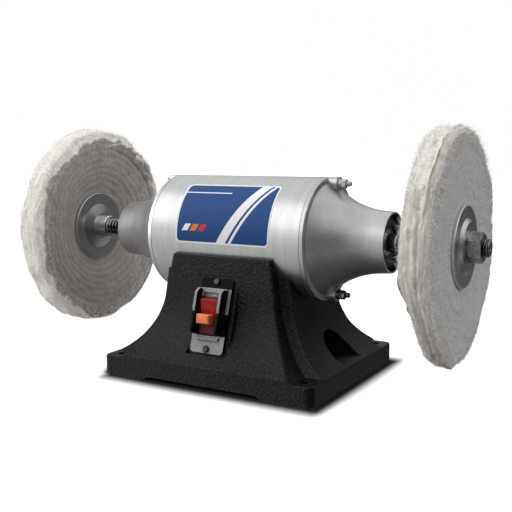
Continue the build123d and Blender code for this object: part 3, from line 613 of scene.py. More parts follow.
@dataclass(frozen=True)
class MouldedPlastic(Finish):
    """Moulded plastic with a faint spark-eroded texture."""

    dark: Colour
    pale: Colour
    rough: float = 0.35
    coat: float = 0.0
    shine: float = 0.4
    dust: Colour = (0.07, 0.002, 0.002)
    dusty_below: float = -1.0
    dust_fade: float = 3 * MM
    cloud: float = 7 * MM
    pebble: float = 0.45 * MM
    depth: float = 0.03 * MM
    coat_rough: float = 0.12

    def paint(self, nodes: Nodes) -> None:
        """Small tone changes, a fine pebble and duller handled patches, with painted shade low down.

        Args:
            nodes: The nodes of the material.
        """
        where = nodes.place()
        clouds = nodes.noise(where, self.cloud, 3, 0.6)
        pebbles = nodes.cells(where, self.pebble)
        height = nodes.split(where)[2]
        # Painted shade: below a set height the plastic is darkened, as on the rocker's foot under the key.
        low_shade = height.step(self.dusty_below + self.dust_fade, self.dusty_below - self.dust_fade)
        unshaded_tone = nodes.mix(clouds.step(0.3, 0.7), self.dark, self.pale)
        nodes.surface(
            {
                "Base Color": nodes.mix(low_shade, unshaded_tone, self.dust),
                "Roughness": self.rough + 0.16 * clouds,
                "Specular IOR Level": self.shine,
                "Coat Weight": self.coat,
                "Coat Roughness": self.coat_rough,
                "Normal": nodes.bump(pebbles, self.depth, 0.35),
            }
        )


@dataclass(frozen=True)
class TwoToneMoulding(Finish):
    """A moulding whose outward faces and edges are satin grey, with painted shade in black on its other faces
    and across its middle.
    """

    outward: Point
    middle: Point
    grey_dark: Colour = (0.23, 0.233, 0.237)
    grey_pale: Colour = (0.34, 0.343, 0.347)
    black: Colour = (0.003, 0.003, 0.0033)
    grey_above: tuple[float, float] = (1.0 * MM, 3.0 * MM)
    grey_below: tuple[float, float] = (-18.2 * MM, -18.8 * MM)
    brush_width: float = 0.3 * MM
    brush_length: float = 3 * MM
    cloud: float = 6 * MM
    depth: float = 0.03 * MM

    def paint(self, nodes: Nodes) -> None:
        """Brushed grey on what faces out, high and low on the plate; painted shade in black between and on
        the sides.

        Args:
            nodes: The nodes of the material.
        """
        where = nodes.place()
        x, y, z = nodes.split(nodes.node("TexCoord").outputs["Normal"])
        # Painted shade: faces that turn from outward, and the band across the plate's middle, are black.
        facing = (x * self.outward[0] + y * self.outward[1] + z * self.outward[2]).step(0.45, 0.72)
        along, deep, up = nodes.split(where)
        height = (deep - self.middle[1]) * self.outward[2] - (up - self.middle[2]) * self.outward[1]
        unshaded_band = height.step(*self.grey_above).most(height.step(*self.grey_below))
        brushed = nodes.streaks(along / self.brush_width, deep / self.brush_length, up / self.brush_length)
        clouds = nodes.noise(where, self.cloud, 3, 0.6)
        tone = (brushed * 0.5 + clouds * 0.5).step(0.3, 0.7)
        grey = nodes.mix(tone, self.grey_dark, self.grey_pale)
        nodes.surface(
            {
                "Base Color": nodes.mix(facing * unshaded_band, self.black, grey),
                "Roughness": 0.34 + 0.18 * clouds,
                "Specular IOR Level": 0.1,
                "Normal": nodes.bump(brushed, self.depth, 0.4),
            }
        )


@dataclass(frozen=True)
class Rubber(Finish):
    """Black rubber with a dusty bloom."""

    dark: Colour = (0.012, 0.012, 0.012)
    pale: Colour = (0.045, 0.044, 0.042)
    dust_patch: float = 3 * MM
    skin_grain: float = 0.4 * MM
    depth: float = 0.03 * MM

    def paint(self, nodes: Nodes) -> None:
        """A dull surface with pale dust in patches.

        Args:
            nodes: The nodes of the material.
        """
        where = nodes.place()
        dust = nodes.noise(where, self.dust_patch, 4, 0.65)
        skin = nodes.noise(where, self.skin_grain, 2, 0.5)
        nodes.surface(
            {
                "Base Color": nodes.mix(dust.step(0.4, 0.75), self.dark, self.pale),
                "Roughness": 0.62 + 0.25 * dust,
                "Normal": nodes.bump(skin, self.depth, 0.5),
            }
        )


@dataclass(frozen=True)
class Laminations(Finish):
    """A stack of thin steel sheets, seen on edge."""

    sheet: float = 0.65 * MM
    depth: float = 0.06 * MM
    steel: Colour = (0.30, 0.30, 0.31)
    varnish: Colour = (0.20, 0.14, 0.09)
    gap: Colour = (0.03, 0.025, 0.02)

    def paint(self, nodes: Nodes) -> None:
        """Fine lines across the shaft, with rust-brown varnish between some sheets.

        Args:
            nodes: The nodes of the material.
        """
        along, _, angle = nodes.around_shaft(nodes.place())
        line = abs((along * (math.pi / self.sheet)).sine())
        varnish = nodes.streaks(along / self.sheet, angle * 3, 0)
        steel = nodes.mix(varnish.step(0.45, 0.7), self.steel, self.varnish)
        nodes.surface(
            {
                "Base Color": nodes.mix(line.step(0.35, 0.0), steel, self.gap),
                "Metallic": 0.85,
                "Roughness": 0.38 + 0.2 * varnish,
                "Normal": nodes.bump(line, self.depth, 0.7),
            }
        )


@dataclass(frozen=True)
class WoundCopper(Finish):
    """Varnished copper end turns, tied with cord."""

    wire: float = 0.9 * MM
    wires_per_radian: float = 55
    wander: float = 9 * MM
    varnish_patch: float = 5 * MM
    depth: float = 0.35 * MM
    copper: Colour = (0.50, 0.19, 0.07)
    varnish: Colour = (0.28, 0.09, 0.03)
    gap: Colour = (0.02, 0.01, 0.006)

    def paint(self, nodes: Nodes) -> None:
        """Wires that slant round the ring, dark between them, under amber varnish.

        Args:
            nodes: The nodes of the material.
        """
        where = nodes.place()
        along, radius, angle = nodes.around_shaft(where)
        wander = nodes.noise(where, self.wander, 2, 0.5)
        slant = angle * self.wires_per_radian + (along + radius) * (math.pi / self.wire) + wander * 6
        strand = abs(slant.sine())
        varnish = nodes.noise(where, self.varnish_patch, 3, 0.6)
        copper = nodes.mix(varnish.step(0.35, 0.7), self.copper, self.varnish)
        nodes.surface(
            {
                "Base Color": nodes.mix(strand.step(0.3, 0.0), copper, self.gap),
                "Metallic": 0.8,
                "Roughness": 0.26 + 0.2 * varnish,
                "Normal": nodes.bump(strand, self.depth, 0.8),
            }
        )


@dataclass(frozen=True)
class SewnCotton(Finish):
    """Cotton plies: a woven face with rows of needle holes, and a frayed pale rim."""

    face_dark: Colour
    face_pale: Colour
    fray_dark: Colour = (0.66, 0.63, 0.57)
    fray_pale: Colour = (0.87, 0.855, 0.82)
    soil: Colour = (0.40, 0.31, 0.22)
    # Painted shade for the deepest gaps between plies.
    gap: Colour = (0.19, 0.155, 0.125)
    first_row: float = FIRST_ROW
    row_step: float = (LAST_ROW - FIRST_ROW) / ROW_SPACES
    stitch: float = STITCH
    yarn: float = 0.62 * MM
    cloud: float = 16 * MM
    fluff: float = 1.6 * MM
    tuft: float = 5 * MM
    lint: float = 1.1 * MM
    depth: float = 0.9 * MM
    sewing: float = 0.8
    staining: float = 0.3

    def paint(self, nodes: Nodes) -> None:
        """Weave, needle holes and handling marks on the faces, with painted shade in the holes and along the
        seams; loose fluff on the rim, with painted shade in its deepest gaps.

        Args:
            nodes: The nodes of the material.
        """
        where = nodes.place()
        fray, deep, stain = nodes.painted("wear")
        _, y, z = nodes.split(where)
        _, radius, angle = nodes.around_shaft(where)
        weave = (y * (math.pi / self.yarn)).sine() * (z * (math.pi / self.yarn)).sine() * 0.5 + 0.5
        row = ((radius - self.first_row) / self.row_step + 0.5).floor()
        row_radius = row * self.row_step + self.first_row
        count = (row_radius * (2 * math.pi / self.stitch)).floor()
        beat = (angle * count * 0.5).sine()
        off_row = abs(radius - row_radius) / MM
        hole = (1 - abs(beat)).step(0.55, 0.9) * off_row.step(1.3, 0.3)
        seam = off_row.step(1.6, 0.2)
        on_face = 1 - fray
        clouds = nodes.noise(where, self.cloud, 4, 0.62)
        fluff = nodes.noise(where, self.fluff, 4, 0.7)
        tufts = nodes.noise(where, self.tuft, 3, 0.6)
        lint = nodes.noise(where, self.lint, 3, 0.7)
        tone = (clouds * 0.5 + weave * 0.2 + lint * 0.3).step(0.35, 0.65)
        face = nodes.mix(tone, self.face_dark, self.face_pale)
        # Painted shade: needle holes and seam lines are darkened towards a dim copy of the face.
        dim = tuple(0.35 * part for part in self.face_dark)
        sewn = nodes.mix((hole * 0.8 + seam * 0.2) * self.sewing, face, dim)
        speckle = (fluff * 0.35 + tufts * 0.25 + lint * 0.4).step(0.36, 0.58)
        rim = nodes.mix(speckle, self.fray_dark, self.fray_pale)
        old_wax = stain * self.staining * tufts.step(0.3, 0.55)
        dirt = (deep * (0.5 + 0.4 * clouds.step(0.42, 0.62))).most(old_wax)
        # Soil in the gaps, and painted shade: the deepest gaps are darkened towards the gap colour.
        soiled_and_shaded = nodes.mix(deep.step(0.4, 0.85) * 0.9, nodes.mix(dirt, rim, self.soil), self.gap)
        height = on_face * (weave * 0.12 - hole * 0.5) + fray * fluff + clouds * 0.1
        nodes.surface(
            {
                "Base Color": nodes.mix(fray, sewn, soiled_and_shaded),
                "Roughness": 0.86 + 0.1 * clouds,
                "Specular IOR Level": 0.2,
                "Sheen Weight": 0.25,
                "Sheen Roughness": 0.5,
                "Normal": nodes.bump(height, self.depth, 0.7),
            }
        )


@dataclass(frozen=True)
class CottonThread(Finish):
    """Sewing thread and loose cotton fibre."""

    dark: Colour
    pale: Colour
    fuzz: float = 0.8 * MM
    cloud: float = 14 * MM
    depth: float = 0.15 * MM

    def paint(self, nodes: Nodes) -> None:
        """A fuzzy surface with a slow change of tone.

        Args:
            nodes: The nodes of the material.
        """
        where = nodes.place()
        fuzz = nodes.noise(where, self.fuzz, 3, 0.6)
        tone = nodes.noise(where, self.cloud, 2, 0.5)
        nodes.surface(
            {
                "Base Color": nodes.mix((fuzz * 0.5 + tone * 0.5).step(0.3, 0.7), self.dark, self.pale),
                "Roughness": 0.82 + 0.12 * fuzz,
                "Specular IOR Level": 0.2,
                "Sheen Weight": 0.2,
                "Normal": nodes.bump(fuzz, self.depth, 0.6),
            }
        )


class Stripe(NamedTuple):
    """A printed stripe: the place of its middle, half its width and the width of its soft edge."""

    middle: float
    half: float
    blur: float = 0.3 * MM

    def cover(self, place: Socket) -> Socket:
        """1 on the stripe and 0 beside it, for a place across it."""
        return abs(place - self.middle).step(self.half + self.blur, self.half)


@dataclass(frozen=True)
class PrintedFoil(Finish):
    """A blue and white printed label of plain bands, under a clear film."""

    blue: Colour = (0.003, 0.042, 0.165)
    white: Colour = (0.78, 0.79, 0.80)
    orange: Colour = (0.72, 0.20, 0.02)
    red: Colour = (0.55, 0.025, 0.02)
    half_width: float = LABEL_HALF_WIDTH
    half_height: float = LABEL_HALF_HEIGHT
    margin: float = 1.6 * MM
    corner: float = 3.6 * MM
    middle_angle: float = math.radians(-63)
    blur: float = 0.3 * MM
    lean: float = 0.6
    wide_band: Stripe = Stripe(18 * MM, 5.0 * MM)
    thin_band: Stripe = Stripe(27.5 * MM, 1.4 * MM)
    line: Stripe = Stripe(20 * MM, 0.5 * MM, 0.2 * MM)
    line_end: float = 1.7 * MM
    bar_row: Stripe = Stripe(-17 * MM, 3.1 * MM)
    white_bar: Stripe = Stripe(-29 * MM, 3.1 * MM)
    orange_bar: Stripe = Stripe(-20 * MM, 3.1 * MM)
    red_bar: Stripe = Stripe(-11 * MM, 3.1 * MM)
    grain: float = 0.6 * MM
    cloud: float = 30 * MM
    depth: float = 0.01 * MM

    def paint(self, nodes: Nodes) -> None:
        """A round-cornered blue ground, slanted white bands at one end, a thin line and three short bars.

        Args:
            nodes: The nodes of the material.
        """
        where = nodes.place()
        along, _, angle = nodes.around_shaft(where)
        up = (angle - self.middle_angle) * TUBE_RADIUS
        inset = self.margin + self.corner
        beyond_x = (abs(along) - (self.half_width - inset)).most(0.0)
        beyond_y = (abs(up) - (self.half_height - inset)).most(0.0)
        outside = (beyond_x * beyond_x + beyond_y * beyond_y).root() - self.corner
        border = outside.step(-self.blur / 2, self.blur / 2)
        slant = along - up * self.lean
        bands = self.wide_band.cover(slant).most(self.thin_band.cover(slant))
        line = self.line.cover(up) * along.step(self.line_end + self.blur, self.line_end)
        row = self.bar_row.cover(up)
        grain = nodes.noise(where, self.grain, 2, 0.5)
        fade = nodes.noise(where, self.cloud, 2, 0.5)
        ground = nodes.mix(fade, self.blue, tuple(1.35 * part for part in self.blue))
        white = border.most(bands).most(line).most(self.white_bar.cover(slant) * row)
        colour = nodes.mix(white, ground, self.white)
        colour = nodes.mix(self.orange_bar.cover(slant) * row, colour, self.orange)
        nodes.surface(
            {
                "Base Color": nodes.mix(self.red_bar.cover(slant) * row, colour, self.red),
                "Roughness": 0.42 + 0.12 * fade,
                "Specular IOR Level": 0.25,
                "Normal": nodes.bump(grain, self.depth, 0.3),
            }
        )


@dataclass(frozen=True)
class PaleFloor(Finish):
    """The studio's plain pale floor, with a painted soft shadow about the foot."""

    tone: Colour = (0.82, 0.82, 0.82)
    cloud: float = 0.6
    glow: float = 0.9
    contact: float = 30 * MM
    shadow_middle: tuple[float, float] = (8 * MM, -5 * MM)
    shadow_half: tuple[float, float] = (110 * MM, 92 * MM)
    fade: tuple[float, float] = (17 * MM, 30 * MM)

    def paint(self, nodes: Nodes) -> None:
        """Nearly even paper with the faintest clouds, lit from below, with painted shadow close about the
        foot.

        Args:
            nodes: The nodes of the material.
        """
        where = nodes.place()
        clouds = nodes.noise(where, self.cloud, 2, 0.5)
        nearly = tuple(0.985 * part for part in self.tone)
        x, y, _ = nodes.split(where)
        # Painted shadow: a soft dark rectangle about the foot, joined with darkening from ambient occlusion.
        beside = (abs(x - self.shadow_middle[0]) - self.shadow_half[0]).most(0.0) / self.fade[0]
        before = (abs(y - self.shadow_middle[1]) - self.shadow_half[1]).most(0.0) / self.fade[1]
        cast = (beside * beside + before * before).root().step(1.0, 0.0)
        open_sky = nodes.node("AmbientOcclusion", {"samples": 16}, {"Distance": self.contact}).outputs["AO"]
        shade = Socket(nodes, open_sky).step(0.97, 0.55).most(cast)
        colour = nodes.mix(shade, nodes.mix(clouds, self.tone, nearly), (0.0, 0.0, 0.0))
        nodes.surface(
            {"Base Color": colour, "Roughness": 0.9, "Emission Color": colour, "Emission Strength": self.glow}
        )


@dataclass(frozen=True)
class WhiteBackdrop(Finish):
    """The studio's evenly lit white backdrop."""

    level: float = 1.0
    cloud: float = 3.0
    white: Colour = (1.0, 1.0, 1.0)
    dimmed: Colour = (0.995, 0.995, 0.995)

    def paint(self, nodes: Nodes) -> None:
        """Even white light with the faintest clouds.

        Args:
            nodes: The nodes of the material.
        """
        clouds = nodes.noise(nodes.place(), self.cloud, 1, 0.5)
        colour = nodes.mix(clouds, self.white, self.dimmed)
        shader = nodes.node("Emission", inputs={"Color": colour, "Strength": self.level}).outputs["Emission"]
        nodes.node("OutputMaterial", inputs={"Surface": shader})


BASE_PAINT = WrinklePaint("black wrinkle paint")
COVER_PAINT = WrinklePaint("black cover paint", lump=5 * MM, depth=0.2 * MM)
TUBE = BrushedTube("brushed tube")
BELL = BellCasting("satin bell casting", (0.41, 0.413, 0.417), (0.53, 0.533, 0.537), 0.38, metal=0.9)
CAGE = CastMetal("cage casting", (0.45, 0.45, 0.46), (0.66, 0.66, 0.67), 0.45, 1.2 * MM, 0.1 * MM)
BRIGHT_STEEL = TurnedSteel("turned bright steel")
BEARING_STEEL = TurnedSteel("ground bearing steel", (0.48, 0.48, 0.49), (0.70, 0.70, 0.71), 0.1)
SHAFT_STEEL = ThreadedSteel("oiled shaft steel", (0.22, 0.22, 0.225), (0.50, 0.50, 0.51), 0.2)
ZINC = PlatedSteel("zinc plate", (0.42, 0.43, 0.45), (0.66, 0.66, 0.66))
# Painted shade: the lower bolt, its nut and the washers are darkened below the shaft's axis.
BOLT_ZINC = replace(ZINC, name="bolt zinc with painted shade", grimy_below=AXIS_HEIGHT)
BLACK_SCREW = PlatedSteel(
    "blackened screws", (0.015, 0.015, 0.016), (0.06, 0.06, 0.062), 0.22, bare=(0.4, 0.4, 0.4)
)
NUT_STEEL = PlatedSteel("handled nut steel", (0.24, 0.24, 0.245), (0.44, 0.44, 0.445), 0.2)
BLACK_PLASTIC = MouldedPlastic("black plastic", (0.002, 0.002, 0.002), (0.004, 0.004, 0.004), 0.2, shine=0.06)
WELL_PLASTIC = MouldedPlastic("dull black plastic", (0.004, 0.004, 0.004), (0.009, 0.009, 0.009), 0.55)
GREY_PLASTIC = TwoToneMoulding("grey and black moulding", SWITCH_OUTWARD, SWITCH_MIDDLE)
# Painted shade: the rocker is darkened below 60 mm, under the key.
RED_PLASTIC = MouldedPlastic(
    "red rocker plastic", (0.25, 0.006, 0.007), (0.38, 0.013, 0.012), 0.36, shine=0.25, dusty_below=60 * MM
)
ORANGE_PLASTIC = MouldedPlastic("orange key plastic", (0.70, 0.15, 0.025), (0.88, 0.28, 0.06), 0.25, 0.4)
CAN_PLASTIC = MouldedPlastic("pale can plastic", (0.50, 0.50, 0.47), (0.62, 0.62, 0.58), 0.4)
WHITE_INK = MouldedPlastic("white ink", (0.55, 0.55, 0.55), (0.70, 0.70, 0.70), 0.5)
RUBBER = Rubber("black rubber")
STACK = Laminations("steel laminations")
COPPER = WoundCopper("varnished copper")
LABEL = PrintedFoil("printed label foil")
LEFT_COTTON = SewnCotton("left wheel cotton", (0.245, 0.227, 0.212), (0.345, 0.325, 0.308))
RIGHT_COTTON = SewnCotton(
    "right wheel cotton", (0.47, 0.46, 0.445), (0.55, 0.54, 0.53), sewing=0.25, staining=0.8
)
LEFT_THREAD = CottonThread("left sewing thread", LEFT_COTTON.face_dark, (0.335, 0.315, 0.298))
RIGHT_THREAD = CottonThread("right sewing thread", RIGHT_COTTON.face_dark, RIGHT_COTTON.face_pale)
LOOSE_FIBRE = CottonThread("loose fibre", (0.74, 0.72, 0.68), (0.90, 0.89, 0.87))
FLOOR = PaleFloor("pale floor")
BACKDROP = WhiteBackdrop("white backdrop")

DRESS: dict[Finish, tuple[str, ...]] = {
    BASE_PAINT: ("base_casting",),
    COVER_PAINT: ("bottom_cover",),
    TUBE: ("motor_tube",),
    BELL: both("end_bell"),
    CAGE: ("rotor_cage",),
    BRIGHT_STEEL: both("inner_flange") + both("outer_flange"),
    NUT_STEEL: both("spindle_nut"),
    BEARING_STEEL: (
        *both("bearing_outer_ring"),
        *both("bearing_inner_ring"),
        *both("bearing_balls"),
        "bearing_wave_washer",
    ),
    ZINC: (
        "bottom_cover_screws",
        "clamp_screws",
        "terminal_screws",
        "capacitor_clamp",
        "saddle_bolts",
        "saddle_washers",
        "saddle_nuts",
    ),
    BOLT_ZINC: ("through_bolt_washers",),
    BLACK_SCREW: ("switch_screws",),
    BLACK_PLASTIC: ("switch_plate", "terminal_block"),
    WELL_PLASTIC: ("switch_body",),
    GREY_PLASTIC: ("switch_bezel",),
    RED_PLASTIC: ("switch_rocker",),
    ORANGE_PLASTIC: ("safety_key",),
    CAN_PLASTIC: ("run_capacitor",),
    RUBBER: ("cord_grommet", "lead_grommet", *both("bearing_seals")),
    STACK: ("stator_core", "rotor_core"),
    COPPER: both("winding"),
}


# Shapes


def outward_mesh(name: str, points: np.ndarray, faces: list[list[int]]) -> bpy.types.Mesh:
    """A mesh whose faces all point out of it.

    Args:
        name: The mesh's name.
        points: Its points.
        faces: Its faces.

    Returns:
        The new mesh.
    """
    mesh = bpy.data.meshes.new(name)
    mesh.from_pydata(points.tolist(), [], faces)
    work = bmesh.new()
    work.from_mesh(mesh)
    bmesh.ops.recalc_face_normals(work, faces=work.faces)
    work.to_mesh(mesh)
    work.free()
    return mesh


def add_piece(name: str, mesh: bpy.types.Mesh, body: Body, finish: Finish) -> bpy.types.Object:
    """Dresses a mesh and lets it ride on a body.

    Args:
        name: The piece's name.
        mesh: Its mesh.
        body: The body that carries it.
        finish: Its finish.

    Returns:
        The new object.
    """
    mesh.materials.append(finish.material())
    made = bpy.data.objects.new(name, mesh)
    bpy.context.scene.collection.objects.link(made)
    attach(made, body.value)
    log.info("%s: %d faces, rides on %s", name, len(mesh.polygons), body.value)
    return made


@dataclass
class Shape:
    """Points and faces on their way to a mesh, with an optional colour per point."""

    points: np.ndarray
    faces: list[list[int]]
    wear: np.ndarray | None = None

    def joined(self, other: "Shape") -> "Shape":
        """Puts another shape beside this one.

        Args:
            other: The other shape.

        Returns:
            Both as one shape, each still its own island.
        """
        shifted = [[number + len(self.points) for number in face] for face in other.faces]
        wear = None
        if self.wear is not None and other.wear is not None:
            wear = np.concatenate([self.wear, other.wear])
        return Shape(np.concatenate([self.points, other.points]), self.faces + shifted, wear)

    def piece(
        self, name: str, body: Body, finish: Finish, slot: str | None = None, crease: float = 180
    ) -> bpy.types.Object:
        """Makes the mesh and lets it ride on a body.

        Args:
            name: The piece's name.
            body: The body that carries it.
            finish: Its finish.
            slot: The record's material slot that it belongs to, if it has one; not used.
            crease: Edges bent by more than this many degrees stay sharp.

        Returns:
            The new object.
        """
        mesh = outward_mesh(name, self.points, self.faces)
        mesh.polygons.foreach_set("use_smooth", [True] * len(mesh.polygons))
        if crease < 180:
            mesh.set_sharp_from_angle(angle=math.radians(crease))
        if self.wear is not None:
            colours = np.concatenate([self.wear, np.ones((len(self.wear), 1))], axis=1)
            layer = mesh.color_attributes.new("wear", "FLOAT_COLOR", "POINT")
            layer.data.foreach_set("color", colours.ravel().astype(np.float32))
        made = add_piece(name, mesh, body, finish)
        return made


def grid_faces(rows: int, columns: int, wrap_rows: bool, wrap_columns: bool) -> list[list[int]]:
    """Quads over a grid of points that are numbered row by row.

    Args:
        rows: How many rows there are.
        columns: How many points each row has.
        wrap_rows: Whether the last row joins the first.
        wrap_columns: Whether each row's end joins its start.

    Returns:
        The quads.
    """
    row = np.arange(rows if wrap_rows else rows - 1)[:, None]
    column = np.arange(columns if wrap_columns else columns - 1)[None, :]
    next_row = (row + 1) % rows
    next_column = (column + 1) % columns
    corners = [
        row * columns + column,
        row * columns + next_column,
        next_row * columns + next_column,
        next_row * columns + column,
    ]
    return np.stack(np.broadcast_arrays(*corners), axis=-1).reshape(-1, 4).tolist()


def tube_faces(rows: int, columns: int) -> list[list[int]]:
    """Faces over a tube of so many rings of points, with a face over each end."""
    last = (rows - 1) * columns
    return grid_faces(rows, columns, False, True) + [list(range(columns)), list(range(last, last + columns))]


def ring_shape(points: np.ndarray, wear: np.ndarray | None = None) -> Shape:
    """A form that closes on itself both ways.

    Args:
        points: A grid of points, row by row.
        wear: A colour for each point, if the form has colours.

    Returns:
        The closed form.
    """
    faces = grid_faces(*points.shape[:2], True, True)
    return Shape(points.reshape(-1, 3), faces, None if wear is None else wear.reshape(-1, 3))


def about_shaft(along: np.ndarray, radius: np.ndarray, turn: np.ndarray) -> np.ndarray:
    """Points from places along the shaft, radii and turns.

    Args:
        along: X, in metres.
        radius: Distance from the shaft's axis.
        turn: Shares of a full turn, from the front over the top.

    Returns:
        The points, with one more axis than the inputs.
    """
    angle = 2 * np.pi * turn
    along, radius, angle = np.broadcast_arrays(along, radius, angle)
    return np.stack([along, -radius * np.cos(angle), AXIS_HEIGHT + radius * np.sin(angle)], axis=-1)


class Ripple:
    """Smooth seeded noise on a ring, from -1 to 1."""

    def __init__(self, seed: int) -> None:
        """Starts the noise from a seed."""
        self.random = np.random.default_rng(seed)

    def sheet(self, turn: np.ndarray, across: np.ndarray, cells: tuple[int, int]) -> np.ndarray:
        """Noise over a band that closes on itself.

        Args:
            turn: Shares of a full turn.
            across: Shares of the band's width, from 0 to 1.
            cells: How many lumps there are round the ring and across it.

        Returns:
            The noise, in the inputs' common shape.
        """
        round_cells, across_cells = cells
        knots = self.random.uniform(-1, 1, (across_cells + 2, round_cells))
        u = (turn % 1.0) * round_cells
        v = np.clip(across, 0, 1) * across_cells
        i = np.floor(u).astype(int) % round_cells
        j = np.floor(v).astype(int)
        du = u - np.floor(u)
        dv = v - np.floor(v)
        du = du * du * (3 - 2 * du)
        dv = dv * dv * (3 - 2 * dv)
        following = (i + 1) % round_cells
        low = knots[j, i] * (1 - du) + knots[j, following] * du
        high = knots[j + 1, i] * (1 - du) + knots[j + 1, following] * du
        return low * (1 - dv) + high * dv

    def ring(self, turn: np.ndarray, cells: int) -> np.ndarray:
        """Noise round a ring with so many lumps."""
        return self.sheet(turn, np.zeros_like(turn), (cells, 1))


def smooth_step(value: np.ndarray, low: float, high: float) -> np.ndarray:
    """A smooth step from 0 at low to 1 at high."""
    share = np.clip((value - low) / (high - low), 0, 1)
    return share * share * (3 - 2 * share)


def ring_gap(turn: np.ndarray, place: float) -> np.ndarray:
    """How far turns are from a place on the ring, in turns, the short way round."""
    return np.abs((turn - place + 0.5) % 1.0 - 0.5)


def unit(vectors: np.ndarray) -> np.ndarray:
    """Rows of vectors, each made one long."""
    return vectors / np.linalg.norm(vectors, axis=1)[:, None]


# Buffing wheels


@dataclass
class ClothRun:
    """A short cloth simulation that blows a sewn form up between its seams."""

    pressure: float
    slack: float
    cap: float
    bending: float = 0.3
    mass: float = 0.1
    frames: int = 14

    def draft(self, points: np.ndarray, faces: list[list[int]], held: np.ndarray) -> bpy.types.Object:
        """Makes a mesh of the form with the cloth on it.

        Args:
            points: The form's points.
            faces: Its faces.
            held: True for each point that is sewn fast.

        Returns:
            The object, ready to be stepped.
        """
        mesh = outward_mesh("cloth draft", points, faces)
        made = bpy.data.objects.new("cloth draft", mesh)
        bpy.context.scene.collection.objects.link(made)
        made.vertex_groups.new(name="held").add(np.flatnonzero(held).tolist(), 1.0, "REPLACE")
        cloth = made.modifiers.new("cloth", "CLOTH")
        cloth.point_cache.frame_end = self.frames
        settings = cloth.settings
        settings.vertex_group_mass = "held"
        settings.mass = self.mass
        settings.bending_stiffness = self.bending
        settings.use_pressure = True
        settings.uniform_pressure_force = self.pressure
        settings.shrink_min = -self.slack
        settings.effector_weights.gravity = 0
        return made

    def moves(self, points: np.ndarray, faces: list[list[int]], held: np.ndarray) -> np.ndarray:
        """How far each point moves when the form is blown up.

        Args:
            points: The form's points.
            faces: Its faces.
            held: True for each point that is sewn fast.

        Returns:
            The moves, none longer than the cap.
        """
        scene = bpy.context.scene
        draft = self.draft(points, faces, held)
        for number in range(1, self.frames + 1):
            scene.frame_set(number)
        settled = draft.evaluated_get(bpy.context.evaluated_depsgraph_get()).to_mesh()
        places = np.empty(points.size)
        settled.vertices.foreach_get("co", places)
        moved = places.reshape(points.shape) - points
        mesh = draft.data
        bpy.data.objects.remove(draft)
        bpy.data.meshes.remove(mesh)
        scene.frame_set(1)
        length = np.linalg.norm(moved, axis=1, keepdims=True)
        return moved * np.minimum(1, self.cap / np.maximum(length, 1e-9))


class Zone(Enum):
    """The stretches of a wheel's section, in the order in which its outline runs."""

    OUTER_FACE = 0
    RIM = 1
    INNER_FACE = 2
    BORE = 3


@dataclass
class Outline:
    """A wheel's section as a closed line; place runs through the zones, one unit to each."""

    along: np.ndarray
    radius: np.ndarray
    place: np.ndarray

    def rows(self, zone: Zone) -> np.ndarray:
        """The numbers of the points in one zone."""
        return np.flatnonzero(np.floor(self.place) == zone.value)


class Dent(NamedTuple):
    """A hollow or a bulge in a wheel's rim: its turn, its width in turns and its rise."""

    turn: float
    width: float
    rise: float


class Groove(NamedTuple):
    """A gap between plies: its share of the rim's width, its strength and how evenly it stands open."""

    place: float
    strength: float
    evenness: float


class TornPly(NamedTuple):
    """A torn outermost ply: if it faces away from the motor, its layer and how far its folds stand up."""

    outer: bool
    layer: int
    folded: float


